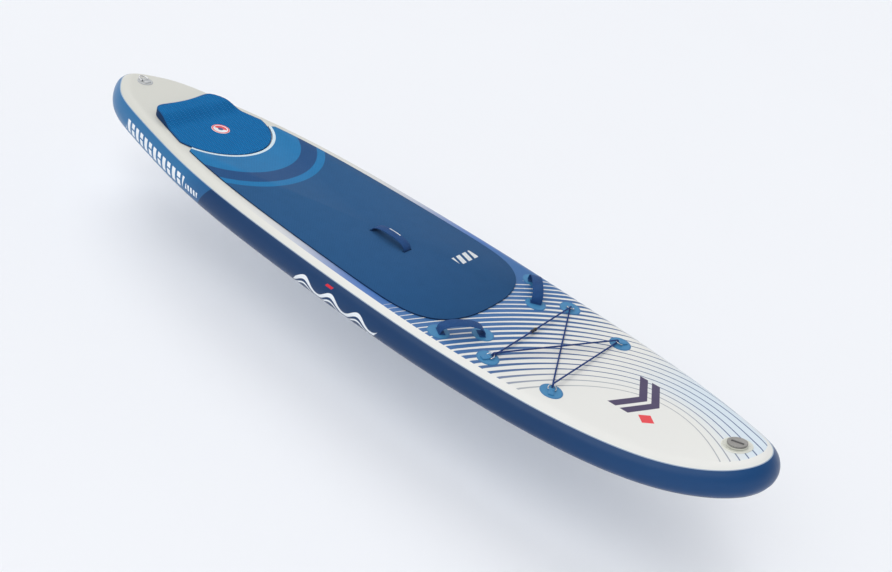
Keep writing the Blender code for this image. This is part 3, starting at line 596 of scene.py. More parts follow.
colour = mixed(tinted, blue, line * printed * tail_fade)
chevron_x, chevron_y = x - 0.980, (y - 0.004).size()
slope = chevron_x + chevron_y * 0.5
bars = (slope - 0.042).size().inside(0.0150) + (slope + 0.003).size().inside(0.0150)
bars = bars * chevron_y.inside(0.112)
colour = mixed(colour, linear(72, 62, 96), bars)
gem = ((x - 1.037).size() + (y + 0.088).size()).inside(0.029)
colour = mixed(colour, linear(226, 70, 78), gem)
cloudy = noise(paint, where, 5.0, 2.0)
colour = mixed(colour, linear(205, 208, 210), (cloudy - 0.45) * 0.10)
deck_finish = fill(Base_Color=colour, Roughness=noise(paint, where, 60.0) * 0.14 + 0.36,
                   height=noise(paint, where, 420.0, 2.0), strength=0.25, distance=0.0003)
piece("deck_skin_print", deck_mesh, deck_finish, stands_for=["deck_skin"])
print("deck print nodes:", len(deck_finish.node_tree.nodes))

# %% [markdown]
# ## Bottom skin and rail bands
# The bottom is a skin of the same cut with two thin blue stripes. The two rail bands lap a little over both
# skins where they are welded, so their edges stand just proud and catch the light. A band's UV runs along
# the rail and round it.

# %% Bottom skin and rail finish
bottom_rows = skin_rows([math.pi - a for a in ROUND[:0:-1]], math.pi, (RAIL, RAIL - SKIN), 8)
paint, fill = finish_of("bottom_pvc", 0.42)
where, x, y, _ = place_of(paint)
stitches_through = noise(paint, where, 160.0, 1.0) * 0.6 + noise(paint, where, 30.0, 2.0) * 0.4
bottom = mixed(linear(214, 219, 224), linear(226, 229, 232), stitches_through)
stripe = (y.size() - 0.10 - 0.05 * (x * 2.2).sine()).size().inside(0.012) * x.between(-0.55, 0.9, 0.05)
piece("bottom_skin_sheet", surface(bottom_rows, around=True, merged=True),
      fill(Base_Color=mixed(bottom, linear(66, 110, 168), stripe), height=stitches_through, distance=0.0003),
      stands_for=["bottom_skin"])

paint, fill = finish_of("rail_pvc", 0.36, Specular_IOR_Level=0.25, Coat_Weight=0.08, Coat_Roughness=0.25)
where, x, y, _ = place_of(paint)
round_way = uv_of(paint)[1]
lean = x - 0.6 * round_way
low_lap = (0 - round_way).ramp(0.0480, 0.0486)
painted_lap_highlight = round_way.ramp(0.0508, 0.0512)
tail_blue = (x - 0.5 * round_way + 0.660).ramp(-0.003, 0.003, 1.0, 0.0)
navy = mixed(linear(10, 54, 98), linear(16, 66, 116), x.ramp(0.6, 1.4))
band = mixed(navy, linear(42, 108, 158), tail_blue)
band = mixed(band, linear(26, 84, 136), (x + 0.82).ramp(0.0, 0.16) * tail_blue * 0.8)
slant = (x + 0.30 * round_way) / 0.0335
dashes = slant.fraction().inside(0.60, 0.02) * round_way.size().inside(0.0215)
dashes = dashes * x.between(-1.185, -0.765)
dashes = dashes * (1 - (round_way - 0.002).size().inside(0.0028) * (slant * 0.5).fraction().inside(0.5, 0.02))
small = (slant * 2).fraction().inside(0.55, 0.03) * (round_way + 0.004).size().inside(0.010)
small = small * x.between(-0.750, -0.680)
wave = round_way + 0.015 - 0.018 * ((x + 0.155) * 52).sine()
swell = wave.size().inside(0.0080) + (wave + 0.0235).size().inside(0.0045)
swell = swell * lean.between(-0.155, 0.210)
band = mixed(band, linear(232, 238, 243), (dashes + small + swell).least(1.0))
spark = (lean + 0.040).size().inside(0.014) * (round_way - 0.028).size().inside(0.0045)
band = mixed(band, linear(214, 40, 58), spark)
band = mixed(band, linear(14, 44, 84), low_lap * 0.8)
# A painted highlight: a pale line along each band's upper edge, where the weld lip meets the deck skin.
band = mixed(band, linear(176, 196, 214), painted_lap_highlight * 0.7)
rail_finish = fill(Base_Color=mixed(band, linear(60, 108, 156), (noise(paint, where, 4.0) - 0.5) * 0.16),
                   Roughness=noise(paint, where, 45.0) * 0.16 + 0.26, height=noise(paint, where, 380.0, 2.0),
                   strength=0.2, distance=0.0003)
print("bottom skin and rail finish ready")

# %% Rail bands
BAND_STEPS = 14
LAP, LIP = 0.012, 0.010  # radians: how far a band laps over a skin, and its edge's rise
PROUD, FLUSH, UNDER = 0.0008, 0.0001, 0.0006
steps = [k / BAND_STEPS for k in range(BAND_STEPS + 1)]
turns = [DECK_EDGE - LAP + (BOTTOM_EDGE - DECK_EDGE + 2 * LAP) * k for k in steps]
outer_turns = [turns[0], turns[0] + LIP, *turns[1:-1], turns[-1] - LIP, turns[-1]]
low_rows = (0, BAND_STEPS, BAND_STEPS + 2)  # both edges, and one row that dips near the lower edge
radii = [RAIL + (FLUSH if k in low_rows else PROUD) for k in range(len(outer_turns))]
girth = [RAIL * (math.pi / 2 - a) for a in outer_turns + turns[::-1]]
for word, side in (("port", 1), ("starboard", -1)):
    rows = []
    for i in range(STATIONS + 1):
        centre = inset_point(math.pi * i / STATIONS, side)
        outer = [rail_point(centre, a, radius) for a, radius in zip(outer_turns, radii)]
        rows.append(outer + [rail_point(centre, a, RAIL - UNDER) for a in reversed(turns)])
    lengths = [(after[8] - here[8]).length for here, after in zip(rows, rows[1:])]
    runs = np.concatenate([[0], np.cumsum(lengths)])
    mesh = surface(rows, around=True, caps=True, uv=lambda i, j: (runs[i], girth[j % len(girth)]))
    piece(f"rail_band_{word}_strip", mesh, rail_finish, stands_for=[f"rail_band_{word}"],
          crease=50)
print("rail length", round(float(runs[-1]), 3), "m a side")

# %% [markdown]
# ## Hidden core
# The core is a block of upright threads between two cloths. It stays the CAD solid and gets a woven
# grey-white.

# %% Core
paint, fill = finish_of("drop_stitch", 0.9)
where, x, y, _ = place_of(paint)
threads = (x * 2000).sine() * (y * 2000).sine()
core_finish = fill(Base_Color=mixed(linear(196, 194, 184), linear(226, 224, 214), threads * 0.5 + 0.5),
                   height=threads, strength=0.4, distance=0.0005)


def refinish(node, finish):
    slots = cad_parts[node].data.materials
    slots.clear()
    slots.append(finish)


refinish("drop_stitch_core", core_finish)
print("core refinished")

# %% [markdown]
# ## Foam pads
# Both pads are EVA foam, glued down, with a small rolled edge. Their outlines are flat loops; a rim steps
# in from the loop and up to the top face. The kick pad's top follows a hump at its rear.

# %% Pad outlines
PAD, PAD_MARGIN, PAD_FRONT, GAP = 0.005, 0.0755, 0.378, 0.0003
PAD_LOW = THICKNESS + 2 * GAP
KICK_CENTRE, KICK_RADIUS, KICK_MOAT = -0.948, 0.216, 0.003
KICK_RISE, RISE_START, RISE_END = 0.0230, -0.985, -1.070
RIM = ((0.0, 0.0), (0.0, 0.0030), (0.0003, 0.0042), (0.0010, 0.0050))  # steps in and up, to the top edge


def pad_half_width(x):
    side = inset_width(x) + RAIL - PAD_MARGIN
    return side if x <= 0 else side * max(1 - (x / PAD_FRONT) ** 4.5, 0) ** 0.4


def deck_pad_outline():
    radius, corner = KICK_RADIUS + KICK_MOAT, math.radians(70)
    for _ in range(20):
        half = pad_half_width(KICK_CENTRE + radius * math.cos(corner))
        corner = math.asin(min(half / radius, 1))
    start = KICK_CENTRE + radius * math.cos(corner)
    rear = [(KICK_CENTRE + radius * math.cos(a), radius * math.sin(a))
            for a in np.linspace(-corner, corner, 90)]
    sides = list(np.linspace(start, 0, 60)[1:])
    sides += [PAD_FRONT * math.sin(a) for a in np.linspace(0, math.pi / 2, 90)[1:-1]]
    port = [(x, pad_half_width(x)) for x in sides]
    return rear + port + [(PAD_FRONT, 0)] + [(x, -y) for x, y in reversed(port)]


def inward(loop, step):
    """The loop moved in by step, along its own normals."""
    points = np.array(loop)
    ahead, behind = np.roll(points, -1, axis=0), np.roll(points, 1, axis=0)
    along = ahead - behind
    along /= np.linalg.norm(along, axis=1)[:, None]
    turn = np.sign((points[:, 0] * ahead[:, 1] - ahead[:, 0] * points[:, 1]).sum())
    return points + turn * step * np.stack([-along[:, 1], along[:, 0]], axis=1)


def kick_point(u, v):
    rear = Vector((-1.115 - 0.027 * v**2 + 0.057 * v**8, 0.160 * v))
    angle = math.radians(80) * v
    return rear.lerp(Vector((KICK_CENTRE + KICK_RADIUS * math.cos(angle), KICK_RADIUS * math.sin(angle))), u)


def kick_lift(x):
    share = min(max((x - RISE_START) / (RISE_END - RISE_START), 0), 1)
    return KICK_RISE * share**2 * (3 - 2 * share)


def pad_mesh(loop, lift=lambda x: 0.0, top=None):
    """Rim rows from the foot to the top edge. The top is one flat face, or rows of points."""
    bm = bmesh.new()
    rows = []
    for step, height in RIM:
        rows.append([bm.verts.new((x, y, PAD_LOW + height + (lift(x) if height else 0)))
                     for x, y in inward(loop, step)])
    count = len(loop)
    for low, high in zip(rows, rows[1:]):
        for j in range(count):
            bm.faces.new((low[j], low[(j + 1) % count], high[(j + 1) % count], high[j]))
    bm.faces.new(rows[0])
    if top is None:
        bm.faces.new(rows[-1])
    else:
        top(bm, rows[-1])
    return mesh_of(bm)


pad_shape = pad_mesh(deck_pad_outline())
print("deck pad outline points:", len(deck_pad_outline()))

# %% Foam finishes
def foam(name, colour_of, bump_of, hollow_shade_share):
    paint, fill = finish_of(name, 0.86, Specular_IOR_Level=0.15, Sheen_Weight=0.03, Sheen_Roughness=0.5)
    where, x, y, _ = place_of(paint)
    speckle = noise(paint, where, 900.0, 2.0)
    blotch = noise(paint, where, 22.0, 4.0, 0.65)
    relief = bump_of(paint, where, x, y)
    # The last term is painted shade: it darkens the foam where its relief is low, in the grooves and hollows.
    # Blotch and speckle are the foam's own mottle.
    shade = (blotch - 0.42) * 0.22 + (speckle - 0.5) * 0.18 + (1 - relief) * hollow_shade_share
    colour = mixed(colour_of(paint, where, x, y), linear(8, 34, 70), shade)
    upright = paint.node("ShaderNodeNewGeometry", out=1).split()[2]
    colour = mixed(colour, linear(14, 38, 74), upright.ramp(0.35, 0.75, 0.85, 0.0))
    return fill(Base_Color=colour, Roughness=speckle * 0.1 + 0.80, height=relief + speckle * 0.15,
                strength=0.6, distance=0.0006)


def bands(paint, where, x, y):
    """The deck pad's print: paler and darker arcs that widen from the kick pad."""
    def within(centre, radius):
        return ((x - centre) * (x - centre) + y * y).root().inside(radius, 0.0008)

    base = mixed(linear(42, 90, 137), linear(36, 84, 132), x.ramp(-0.5, 0.35))
    ring = mixed(base, linear(40, 122, 178), within(-0.856, 0.354))
    dark = mixed(ring, linear(40, 82, 132), within(-0.866, 0.331))
    disc = mixed(dark, linear(40, 122, 178), within(-0.878, 0.277))
    disc = mixed(disc, linear(218, 236, 246), within(KICK_CENTRE, KICK_RADIUS + 0.0150))
    across = (y + 0.35 * x) / 0.036
    mark = (x - 0.142).size().inside(0.0225) * (y - 0.165).size().inside(0.054)
    return mixed(disc, linear(230, 236, 240), across.fraction().inside(0.62, 0.02) * mark)


def diamonds(paint, where, x, y):
    a, b = ((x + y) / 0.0085).fraction() - 0.5, ((x - y) / 0.0085).fraction() - 0.5
    return a.size().most(b.size()).ramp(0.36, 0.48, 1.0, 0.0)


def kick_blue(paint, where, x, y):
    return mixed(linear(4, 88, 148), linear(10, 100, 160), noise(paint, where, 8.0))


deck_foam = foam("deck_foam", bands, diamonds, 0.22)
kick_foam = foam("kick_foam", kick_blue, lambda paint, where, x, y: noise(paint, where, 240.0, 2.0), 0.1)
ridge_foam = clouded("ridge_foam", (14, 118, 184), (34, 134, 196), (120.0,), 0.86, grain=(900.0, 2.0),
                     strength=0.4, distance=0.0004, Specular_IOR_Level=0.15)
print("foam finishes ready")

# %% Deck pad
pad = piece("deck_pad_foam", pad_shape, deck_foam, stands_for=["deck_pad"], crease=60)
HANDLE_ENDS = (-0.148, 0.003)
SLOT = (0.010, 0.044, 0.012)
tool = linked("slots", joined(*(block(SLOT, (end, 0, THICKNESS + 0.004)) for end in HANDLE_ENDS)))
cut = pad.modifiers.new("slots", "BOOLEAN")
cut.object, cut.solver = tool, "EXACT"
cut_mesh = applied(pad)
pad.modifiers.remove(cut)
bpy.data.objects.remove(tool)
pad.data = cut_mesh
print("deck pad with two slots:", len(pad.data.polygons), "faces")

# %% [markdown]
# ## Kick pad
# The kick pad's top is a lattice from its hollow rear edge to its round front. Its grip is rows of small
# wavy ridges. Geometry Nodes make those: one row is a straight line, placed on a point for each row and
# stretched to the pad's width there, then moved into a wave and up on to the hump.

# %% Kick pad shape
ACROSS, DOWN = 64, 60
steps_across = [math.sin(a) for a in np.linspace(-math.pi / 2, math.pi / 2, ACROSS + 1)]
steps_down = list(np.linspace(0, 1, DOWN + 1))
border = [kick_point(0, v) for v in steps_across] + [kick_point(u, 1) for u in steps_down[1:]]
border += [kick_point(1, v) for v in reversed(steps_across[:-1])]
border += [kick_point(u, -1) for u in reversed(steps_down[1:-1])]
kick_loop = [(p.x, p.y) for p in border]


def kick_top(bm, edge):
    ring_places = [(0, j) for j in range(ACROSS + 1)] + [(i, ACROSS) for i in range(1, DOWN + 1)]
    ring_places += [(DOWN, j) for j in range(ACROSS - 1, -1, -1)] + [(i, 0) for i in range(DOWN - 1, 0, -1)]
    grid = dict(zip(ring_places, edge))
    for i in range(1, DOWN):
        for j in range(1, ACROSS):
            p = kick_point(steps_down[i] * 0.986 + 0.007, steps_across[j] * 0.994)
            grid[i, j] = bm.verts.new((p.x, p.y, PAD_LOW + PAD + kick_lift(p.x)))
    for i in range(DOWN):
        for j in range(ACROSS):
            bm.faces.new((grid[i, j], grid[i, j + 1], grid[i + 1, j + 1], grid[i + 1, j]))


kick = piece("kick_pad_foam", pad_mesh(kick_loop, kick_lift, kick_top), kick_foam, stands_for=["kick_pad"],
             crease=60)
print("kick pad:", len(kick.data.polygons), "faces")

# %% Node tree helper
class Tree:
    """A geometry node tree under construction, with named inputs."""

    def __init__(self, name, **sizes):
        self.tree = bpy.data.node_groups.new(name, "GeometryNodeTree")
        self.tree.interface.new_socket("Geometry", in_out="INPUT", socket_type="NodeSocketGeometry")
        self.tree.interface.new_socket("Geometry", in_out="OUTPUT", socket_type="NodeSocketGeometry")
        for size, value in sizes.items():
            made = self.tree.interface.new_socket(size, in_out="INPUT", socket_type="NodeSocketFloat")
            made.default_value = value
        self.start = self.tree.nodes.new("NodeGroupInput")
        self.end = self.tree.nodes.new("NodeGroupOutput")

    def size(self, name):
        return Socket(self.tree, self.start.outputs[name])

    def node(self, *parts, **named):
        return Socket(self.tree).node(*parts, **named)

    def vector(self, *parts):
        return self.node("ShaderNodeCombineXYZ", {}, dict(enumerate(parts)))

    def number(self, name):
        """The number of that name that each point carries."""
        return self.node("GeometryNodeInputNamedAttribute", {"data_type": "FLOAT"}, {"Name": name})

    def copies(self, instance, **way):
        """The instance on every point of the mesh. way is its Rotation or its Scale."""
        points = Socket(self.tree, self.start.outputs[0])
        return self.node("GeometryNodeInstanceOnPoints", {}, {"Points": points, "Instance": instance, **way})

    def run(self, mesh, finish, geometry):
        """Ends the tree in Realize Instances and Set Material, and returns the plain mesh that it makes."""
        real = self.node("GeometryNodeRealizeInstances", {}, {0: geometry})
        last = self.node("GeometryNodeSetMaterial", {}, {"Geometry": real, "Material": finish})
        self.tree.links.new(last.output, self.end.inputs[0])
        holder = linked(self.tree.name, mesh)
        modifier = holder.modifiers.new(self.tree.name, "NODES")
        modifier.node_group = self.tree
        for socket in self.tree.interface.items_tree:
            if socket.in_out == "INPUT" and socket.socket_type == "NodeSocketFloat":
                modifier[socket.identifier] = socket.default_value
        made = applied(holder)
        holder.modifiers.remove(modifier)
        bpy.data.objects.remove(holder)
        return made


def points_mesh(points, **numbers):
    """Loose points, each with the named numbers."""
    mesh = bpy.data.meshes.new("points")
    mesh.from_pydata([tuple(p) for p in points], [], [])
    for name, values in numbers.items():
        mesh.attributes.new(name, "FLOAT", "POINT").data.foreach_set("value", [float(v) for v in values])
    return mesh


print("node tree helper ready")

# %% Kick pad ridges
BADGE_X, BADGE_RADIUS = -0.917, 0.0345


def half_at(x):
    """Half the kick pad's width at x, from its outline."""
    hits = [abs(a[1] + (b[1] - a[1]) * (x - a[0]) / (b[0] - a[0]))
            for a, b in zip(kick_loop, kick_loop[1:] + kick_loop[:1]) if (a[0] - x) * (b[0] - x) < 0]
    return max(hits) if hits else 0


row_places = list(np.arange(-1.109, -0.738, 0.0072))
halves = [max(half_at(x) - 0.007, 0.01) for x in row_places]
ridges = Tree("kick_pad_ridges", Wave_length=0.020, Wave_height=0.0030, Ridge=0.0016)
unit = ridges.node("GeometryNodeCurvePrimitiveLine", {}, {"Start": (0, -1, 0), "End": (0, 1, 0)})
fine = ridges.node("GeometryNodeResampleCurve", {}, {"Curve": unit, "Count": 110})
rows_of = ridges.copies(fine, Scale=ridges.vector(1, ridges.number("half"), 1))
lines = ridges.node("GeometryNodeRealizeInstances", {}, {0: rows_of})
spot_x, spot_y, _ = ridges.node("GeometryNodeInputPosition").split()
sway = (spot_y * (2 * math.pi) / ridges.size("Wave_length")).sine() * ridges.size("Wave_height")
rise = spot_x.ramp(RISE_END, RISE_START, KICK_RISE, 0.0)
shift = ridges.vector(sway, 0, rise)
waved = ridges.node("GeometryNodeSetPosition", {}, {"Geometry": lines, "Offset": shift})
section = ridges.node("GeometryNodeCurvePrimitiveCircle", {}, {"Resolution": 5,
                                                               "Radius": ridges.size("Ridge")})
solid_rows = ridges.node("GeometryNodeCurveToMesh", {}, {"Curve": waved, "Profile Curve": section,
                                                         "Fill Caps": True})
base = points_mesh([(x, 0, PAD_LOW + PAD - 0.0002) for x in row_places], half=halves)
ridge_mesh = ridges.run(base, ridge_foam, solid_rows)
badge_gap = bmesh.new()
badge_gap.from_mesh(ridge_mesh)
near = [v for v in badge_gap.verts if math.hypot(v.co.x - BADGE_X, v.co.y) < BADGE_RADIUS + 0.002]
bmesh.ops.delete(badge_gap, geom=near, context="VERTS")
badge_gap.to_mesh(ridge_mesh)
badge_gap.free()
piece("kick_pad_ridges", ridge_mesh, ridge_foam)
print("ridges:", len(row_places), "rows,", len(ridge_mesh.polygons), "faces")

# %% [markdown]
# ## Badge
# A soft rubber badge is pressed into the kick pad. It is a low turned disc with a raised ring; its print is
# plain rings of colour.

# %% Badge
BADGE_LOW = PAD_LOW + PAD + GAP
badge_profile = [(0, 0.0012), (0.027, 0.0012), (0.0275, 0.0015), (0.0330, 0.0015), (BADGE_RADIUS, 0.0008),
                 (BADGE_RADIUS, 0), (0, 0)]
badge_shape = turned(badge_profile, Matrix.Translation((BADGE_X, 0, BADGE_LOW)))
paint, fill = finish_of("badge_rubber", 0.5)
where, x, y, _ = place_of(paint)
from_middle = x - BADGE_X
away = (from_middle * from_middle + y * y).root()
lower = (from_middle * 0.55 - y * 0.83).ramp(-0.001, 0.001)
face = mixed(linear(232, 236, 240), linear(226, 62, 72), away.ramp(0.0275, 0.0283))
face = mixed(face, linear(240, 222, 224), away.ramp(0.0325, 0.0330))
face = mixed(face, linear(222, 60, 70), away.inside(0.0240) * (1 - lower))
face = mixed(face, linear(70, 66, 120), away.inside(0.0105))
badge_finish = fill(Base_Color=face, height=noise(paint, where, 300.0), distance=0.0003)
piece("kick_pad_badge_disc", badge_shape, badge_finish,
      stands_for=["kick_pad_badge"])
print("badge radius", BADGE_RADIUS)

# %% [markdown]
# ## Welded patches
# Every handle foot and ring sits on a round PVC patch with a rolled edge. The patch follows the deck, so
# each of its points goes through `bend`.

# %% Patches
PATCH, PATCH_LIFT = 0.0012, 0.0006


def patch_mesh(x, y, radius, lift=PATCH_LIFT, thick=PATCH, hole=0.0, steps=64, bead=0.0):
    """A thin disc on the deck with a rolled edge; bead raises a weld line near the edge."""
    top, inner = lift + thick, max(hole, 0.0005)
    profile = [(inner, top), (radius - 0.0060, top), (radius - 0.0048, top + bead),
               (radius - 0.0030, top + bead), (radius - 0.0016, top - 0.0001),
               (radius - 0.0006, top - 0.0004), (radius, lift + 0.0002), (radius, 0.0001), (inner, 0.0001)]
    rows = [[bend(x + r * math.cos(a), y + r * math.sin(a), THICKNESS + h) for r, h in profile]
            for a in (2 * math.pi * k / steps for k in range(steps))]
    return surface(rows, around=True, along=True,
                   uv=lambda i, j: (profile[j % len(profile)][0], 2 * math.pi * radius * i / steps))


paint, fill = finish_of("patch_pvc", 0.42, Specular_IOR_Level=0.3, Coat_Weight=0.06, Coat_Roughness=0.3)
where = place_of(paint)[0]
rim = uv_of(paint)[0]
patch_blue = mixed(linear(56, 124, 172), linear(68, 136, 182), noise(paint, where, 30.0))
patch_blue = mixed(patch_blue, linear(38, 98, 150), rim.ramp(0.0325, 0.0345, 0.0, 0.35))
patch_finish = fill(Base_Color=patch_blue, Roughness=noise(paint, where, 80.0) * 0.2 + 0.34,
                    height=noise(paint, where, 420.0, 2.0), distance=0.0003)
paint, fill = finish_of("pale_patch_pvc", 0.45, Specular_IOR_Level=0.3)
where = place_of(paint)[0]
rim = uv_of(paint)[0]
pale = mixed(linear(186, 190, 192), linear(206, 208, 208), noise(paint, where, 30.0))
pale_patch = fill(Base_Color=mixed(pale, linear(150, 156, 164), rim.ramp(0.0245, 0.0265, 0.0, 0.5)),
                  height=noise(paint, where, 420.0, 2.0), distance=0.0003)
print("patch finishes ready")

# %% Webbing finish
paint, fill = finish_of("webbing", 0.8, Specular_IOR_Level=0.2, Sheen_Weight=0.05, Sheen_Roughness=0.4)
where = place_of(paint)[0]
weft, warp = uv_of(paint)
ribs = (weft / 0.0016 * 2 * math.pi).sine() * 0.5 + (warp / 0.0024 * 2 * math.pi).sine() * 0.5
worn = noise(paint, where, 60.0, 3.0)
cloth = mixed(linear(20, 60, 114), linear(48, 96, 150), ribs * 0.25 + worn * 0.5)
webbing = fill(Base_Color=cloth, Roughness=worn * 0.15 + 0.72, height=ribs, strength=0.5, distance=0.0004)
thread = clouded("thread", (30, 66, 118), (74, 116, 168), (500.0,), 0.7)
label_cloth = clouded("label_cloth", (206, 214, 222), (232, 236, 240), (400.0,), 0.8, grain=(900.0,),
                      distance=0.0002)
print("webbing, thread and label cloth ready")

# %% [markdown]
# ## Stitches
# Thread holds every webbing foot. A stitch is a tiny pill, placed by Geometry Nodes on points that carry
# their own turn. One tree serves all feet.

# %% Stitches
stitches = Tree("stitches", Length=0.0026, Thickness=0.0007)
pill = stitches.node("GeometryNodeMeshUVSphere", {}, {"Segments": 6, "Rings": 4, "Radius": 0.5})
thin = stitches.size("Thickness")
pill_size = stitches.vector(stitches.size("Length"), thin, thin)
shaped = stitches.node("GeometryNodeTransform", {}, {"Geometry": pill, "Scale": pill_size})
placed = stitches.copies(shaped, Rotation=stitches.vector(0, 0, stitches.number("turn")))
stitch_points, stitch_turns = [], []


def stitch_line(matrix, start, end, height, step=0.0040):
    """Adds stitches from start to end, (x, y) in the matrix's frame, at that height."""
    run = Vector(end) - Vector(start)
    heading = matrix.to_3x3() @ Vector((run.x, run.y, 0))
    for k in range(int(run.length / step) + 1):
        spot = Vector(start) + run * min((k + 0.5) * step / run.length, 1)
        stitch_points.append(matrix @ Vector((spot.x, spot.y, height)))
        stitch_turns.append(math.atan2(heading.y, heading.x))


def stitch_box(matrix, x0, x1, half, height, cross=True):
    corners = [(x0, -half), (x1, -half), (x1, half), (x0, half)]
    for a, b in zip(corners, corners[1:] + corners[:1]):
        stitch_line(matrix, a, b, height)
    if cross:
        stitch_line(matrix, corners[0], corners[2], height)
        stitch_line(matrix, corners[1], corners[3], height)


print("stitch tree ready")

# %% [markdown]
# ## Carry handles
# Each handle is one length of webbing: it leaves its foot steeply, runs over a flat crown and comes down
# again. It is drawn whole, in its place on the deck.

# %% Handles
WEBBING_WIDTH, WEBBING = 0.039, 0.0022
CENTRE_HEIGHT, FRONT_HEIGHT = 0.030, 0.037


def arch_path(half, low, height, steps=60):
    path = []
    for angle in np.linspace(0.0, math.pi, steps + 1):
        cosine = math.cos(angle)
        along = -half * math.copysign(abs(cosine) ** 0.95, cosine)
        path.append((along, low + height * max(math.sin(angle), 0) ** 0.7))
    return path


def swung(obj, low, high):
    """The object's place baked into its mesh; low and high are not used."""
    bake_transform(obj)


centre_frame = deck_frame(sum(HANDLE_ENDS) / 2, 0)
half = (HANDLE_ENDS[1] - HANDLE_ENDS[0]) / 2
centre_arch = arch_path(half, 0.0012, CENTRE_HEIGHT + 0.0018)
strap = moved(ribbon(centre_arch, WEBBING_WIDTH, WEBBING), centre_frame)
strap_obj = piece("centre_handle_strap", strap, webbing,
                  stands_for=["centre_handle", "centre_handle_foot_aft", "centre_handle_foot_fore"],
                  ride=False)
swung(strap_obj, THICKNESS + 0.004, THICKNESS + 0.019)
label_path = [(x, z + 0.0014) for x, z in centre_arch[24:37]]
label = moved(ribbon(label_path, 0.004, 0.0008), centre_frame @ Matrix.Translation((0, 0.0145, 0)))
piece("centre_handle_label", label, label_cloth, body="centre_handle")

FEET = ((0.363, 0.287), (0.456, 0.163))
DECK_TOP = PATCH_LIFT + PATCH
for word, side in (("port", 1), ("starboard", -1)):
    name = f"front_handle_{word}"
    (x0, y0), (x1, y1) = FEET
    length = math.hypot(x1 - x0, y1 - y0)
    place = deck_frame((x0 + x1) / 2, side * (y0 + y1) / 2, math.atan2(side * (y1 - y0), x1 - x0))
    for end, (x, y), way in (("outer", FEET[0], -1), ("inner", FEET[1], 1)):
        piece(f"{name}_patch_{end}_disc", patch_mesh(x, side * y, 0.038), patch_finish,
              stands_for=[f"{name}_patch_{end}"])
        at = way * length / 2
        ends = sorted((at + way * 0.004, at - way * 0.018))
        foot = ribbon([(ends[0], DECK_TOP + 0.0010), (at, DECK_TOP + 0.0011), (ends[1], DECK_TOP + 0.0010)],
                      WEBBING_WIDTH, 0.0018)
        piece(f"{name}_foot_{end}_tab", moved(foot, place), webbing, stands_for=[f"{name}_foot_{end}"])
        stitch_box(place, ends[0] + 0.002, ends[1] - 0.002, 0.016, DECK_TOP + 0.0020)
    arch = arch_path(length / 2, DECK_TOP + 0.0012, FRONT_HEIGHT + 0.0005)
    arch_obj = piece(f"{name}_strap", moved(ribbon(arch, WEBBING_WIDTH, WEBBING), place), webbing,
                     stands_for=[name], ride=False)
    ground = THICKNESS + rocker(0.41)[0]
    swung(arch_obj, ground + 0.004, ground + 0.021)
print("three handles")

# %% [markdown]
# ## Rings and bungee
# A D ring turns in a fold of webbing on each patch. The cord is one loop through four rings, joined on its
# rear strand. Its path turns round each bow, so the cord really passes through the eye.

# %% Ring finishes
steel = clouded("polished_steel", (186, 188, 192), (222, 223, 226), (120.0,), wear=(120.0, 3.0, 0.2, 0.14),
                Metallic=1.0)
paint, fill = finish_of("cord_sleeve", 0.75, Specular_IOR_Level=0.2)
run, girth = uv_of(paint)
left, right_hand = run / 0.0042 + girth / 0.0088, run / 0.0042 - girth / 0.0088
braid = (left * 2 * math.pi).sine() * (right_hand * 2 * math.pi).sine()
fleck = left.fraction().inside(0.12, 0.02)
cord_colour = mixed(linear(24, 42, 92), linear(46, 76, 138), braid * 0.5 + 0.5)
cord_finish = fill(Base_Color=mixed(cord_colour, linear(96, 116, 168), fleck * 0.3), height=braid,
                   strength=0.6, distance=0.0005)
black = clouded("black_plastic", (22, 24, 34), (40, 42, 54), (90.0,), wear=(200.0, 3.0, 0.2, 0.35),
                grain=(500.0,))
print("steel, cord and plastic ready")

# %% Rings
LOOP_CLEAR = 0.0004


def bow_loop(half_width, depth, steps=40):
    bow = [(depth * max(math.cos(a), 0) ** 0.8, half_width * math.sin(a), 0)
           for a in np.linspace(-math.pi / 2, math.pi / 2, steps)]
    bar = [(0, half_width - 2 * half_width * k / 8, 0) for k in range(1, 8)]
    return bow + bar


def ring_set(name, x, y, turn, patch_radius, half_width, depth, wire, bar_height, tilt, width,
             finish=patch_finish):
    """A patch, the fold of webbing and the ring. Returns the middle of the ring's bow."""
    piece(f"{name}_patch_disc", patch_mesh(x, y, patch_radius), finish, stands_for=[f"{name}_patch"])
    place = deck_frame(x + 0.003 * math.cos(turn), y + 0.003 * math.sin(turn), turn)
    low = DECK_TOP + GAP
    layer = bar_height - wire - LOOP_CLEAR - low
    fold = wire + LOOP_CLEAR + layer / 2
    tail = patch_radius * 0.72
    path = [(-tail, low + layer / 2), (-tail / 2, low + layer / 2), (0, bar_height - fold)]
    path += [(fold * math.sin(a), bar_height - fold * math.cos(a))
             for a in np.linspace(0.2, math.pi - 0.1, 12)]
    path += [(-fold, bar_height + fold * 0.8), (-fold * 1.9, low + layer * 1.7),
             (-tail / 2, low + layer * 1.55), (-tail, low + layer * 1.5)]
    piece(f"{name}_webbing_fold", moved(ribbon(path, width, layer), place), finish,
          stands_for=[f"{name}_webbing"])
    stitch_box(place, -tail * 0.93, -fold * 2.1, width * 0.40, low + layer * 2.05, cross=False)
    bar = place @ Matrix.Translation((0, 0, bar_height)) @ Matrix.Rotation(-tilt, 4, "Y")
    ring = moved(tube(bow_loop(half_width, depth), wire, sides=14, cyclic=True), bar)
    piece(f"{name}_wire", ring, steel, body=name, stands_for=[name])
    return bar @ Vector((depth, 0, 0))


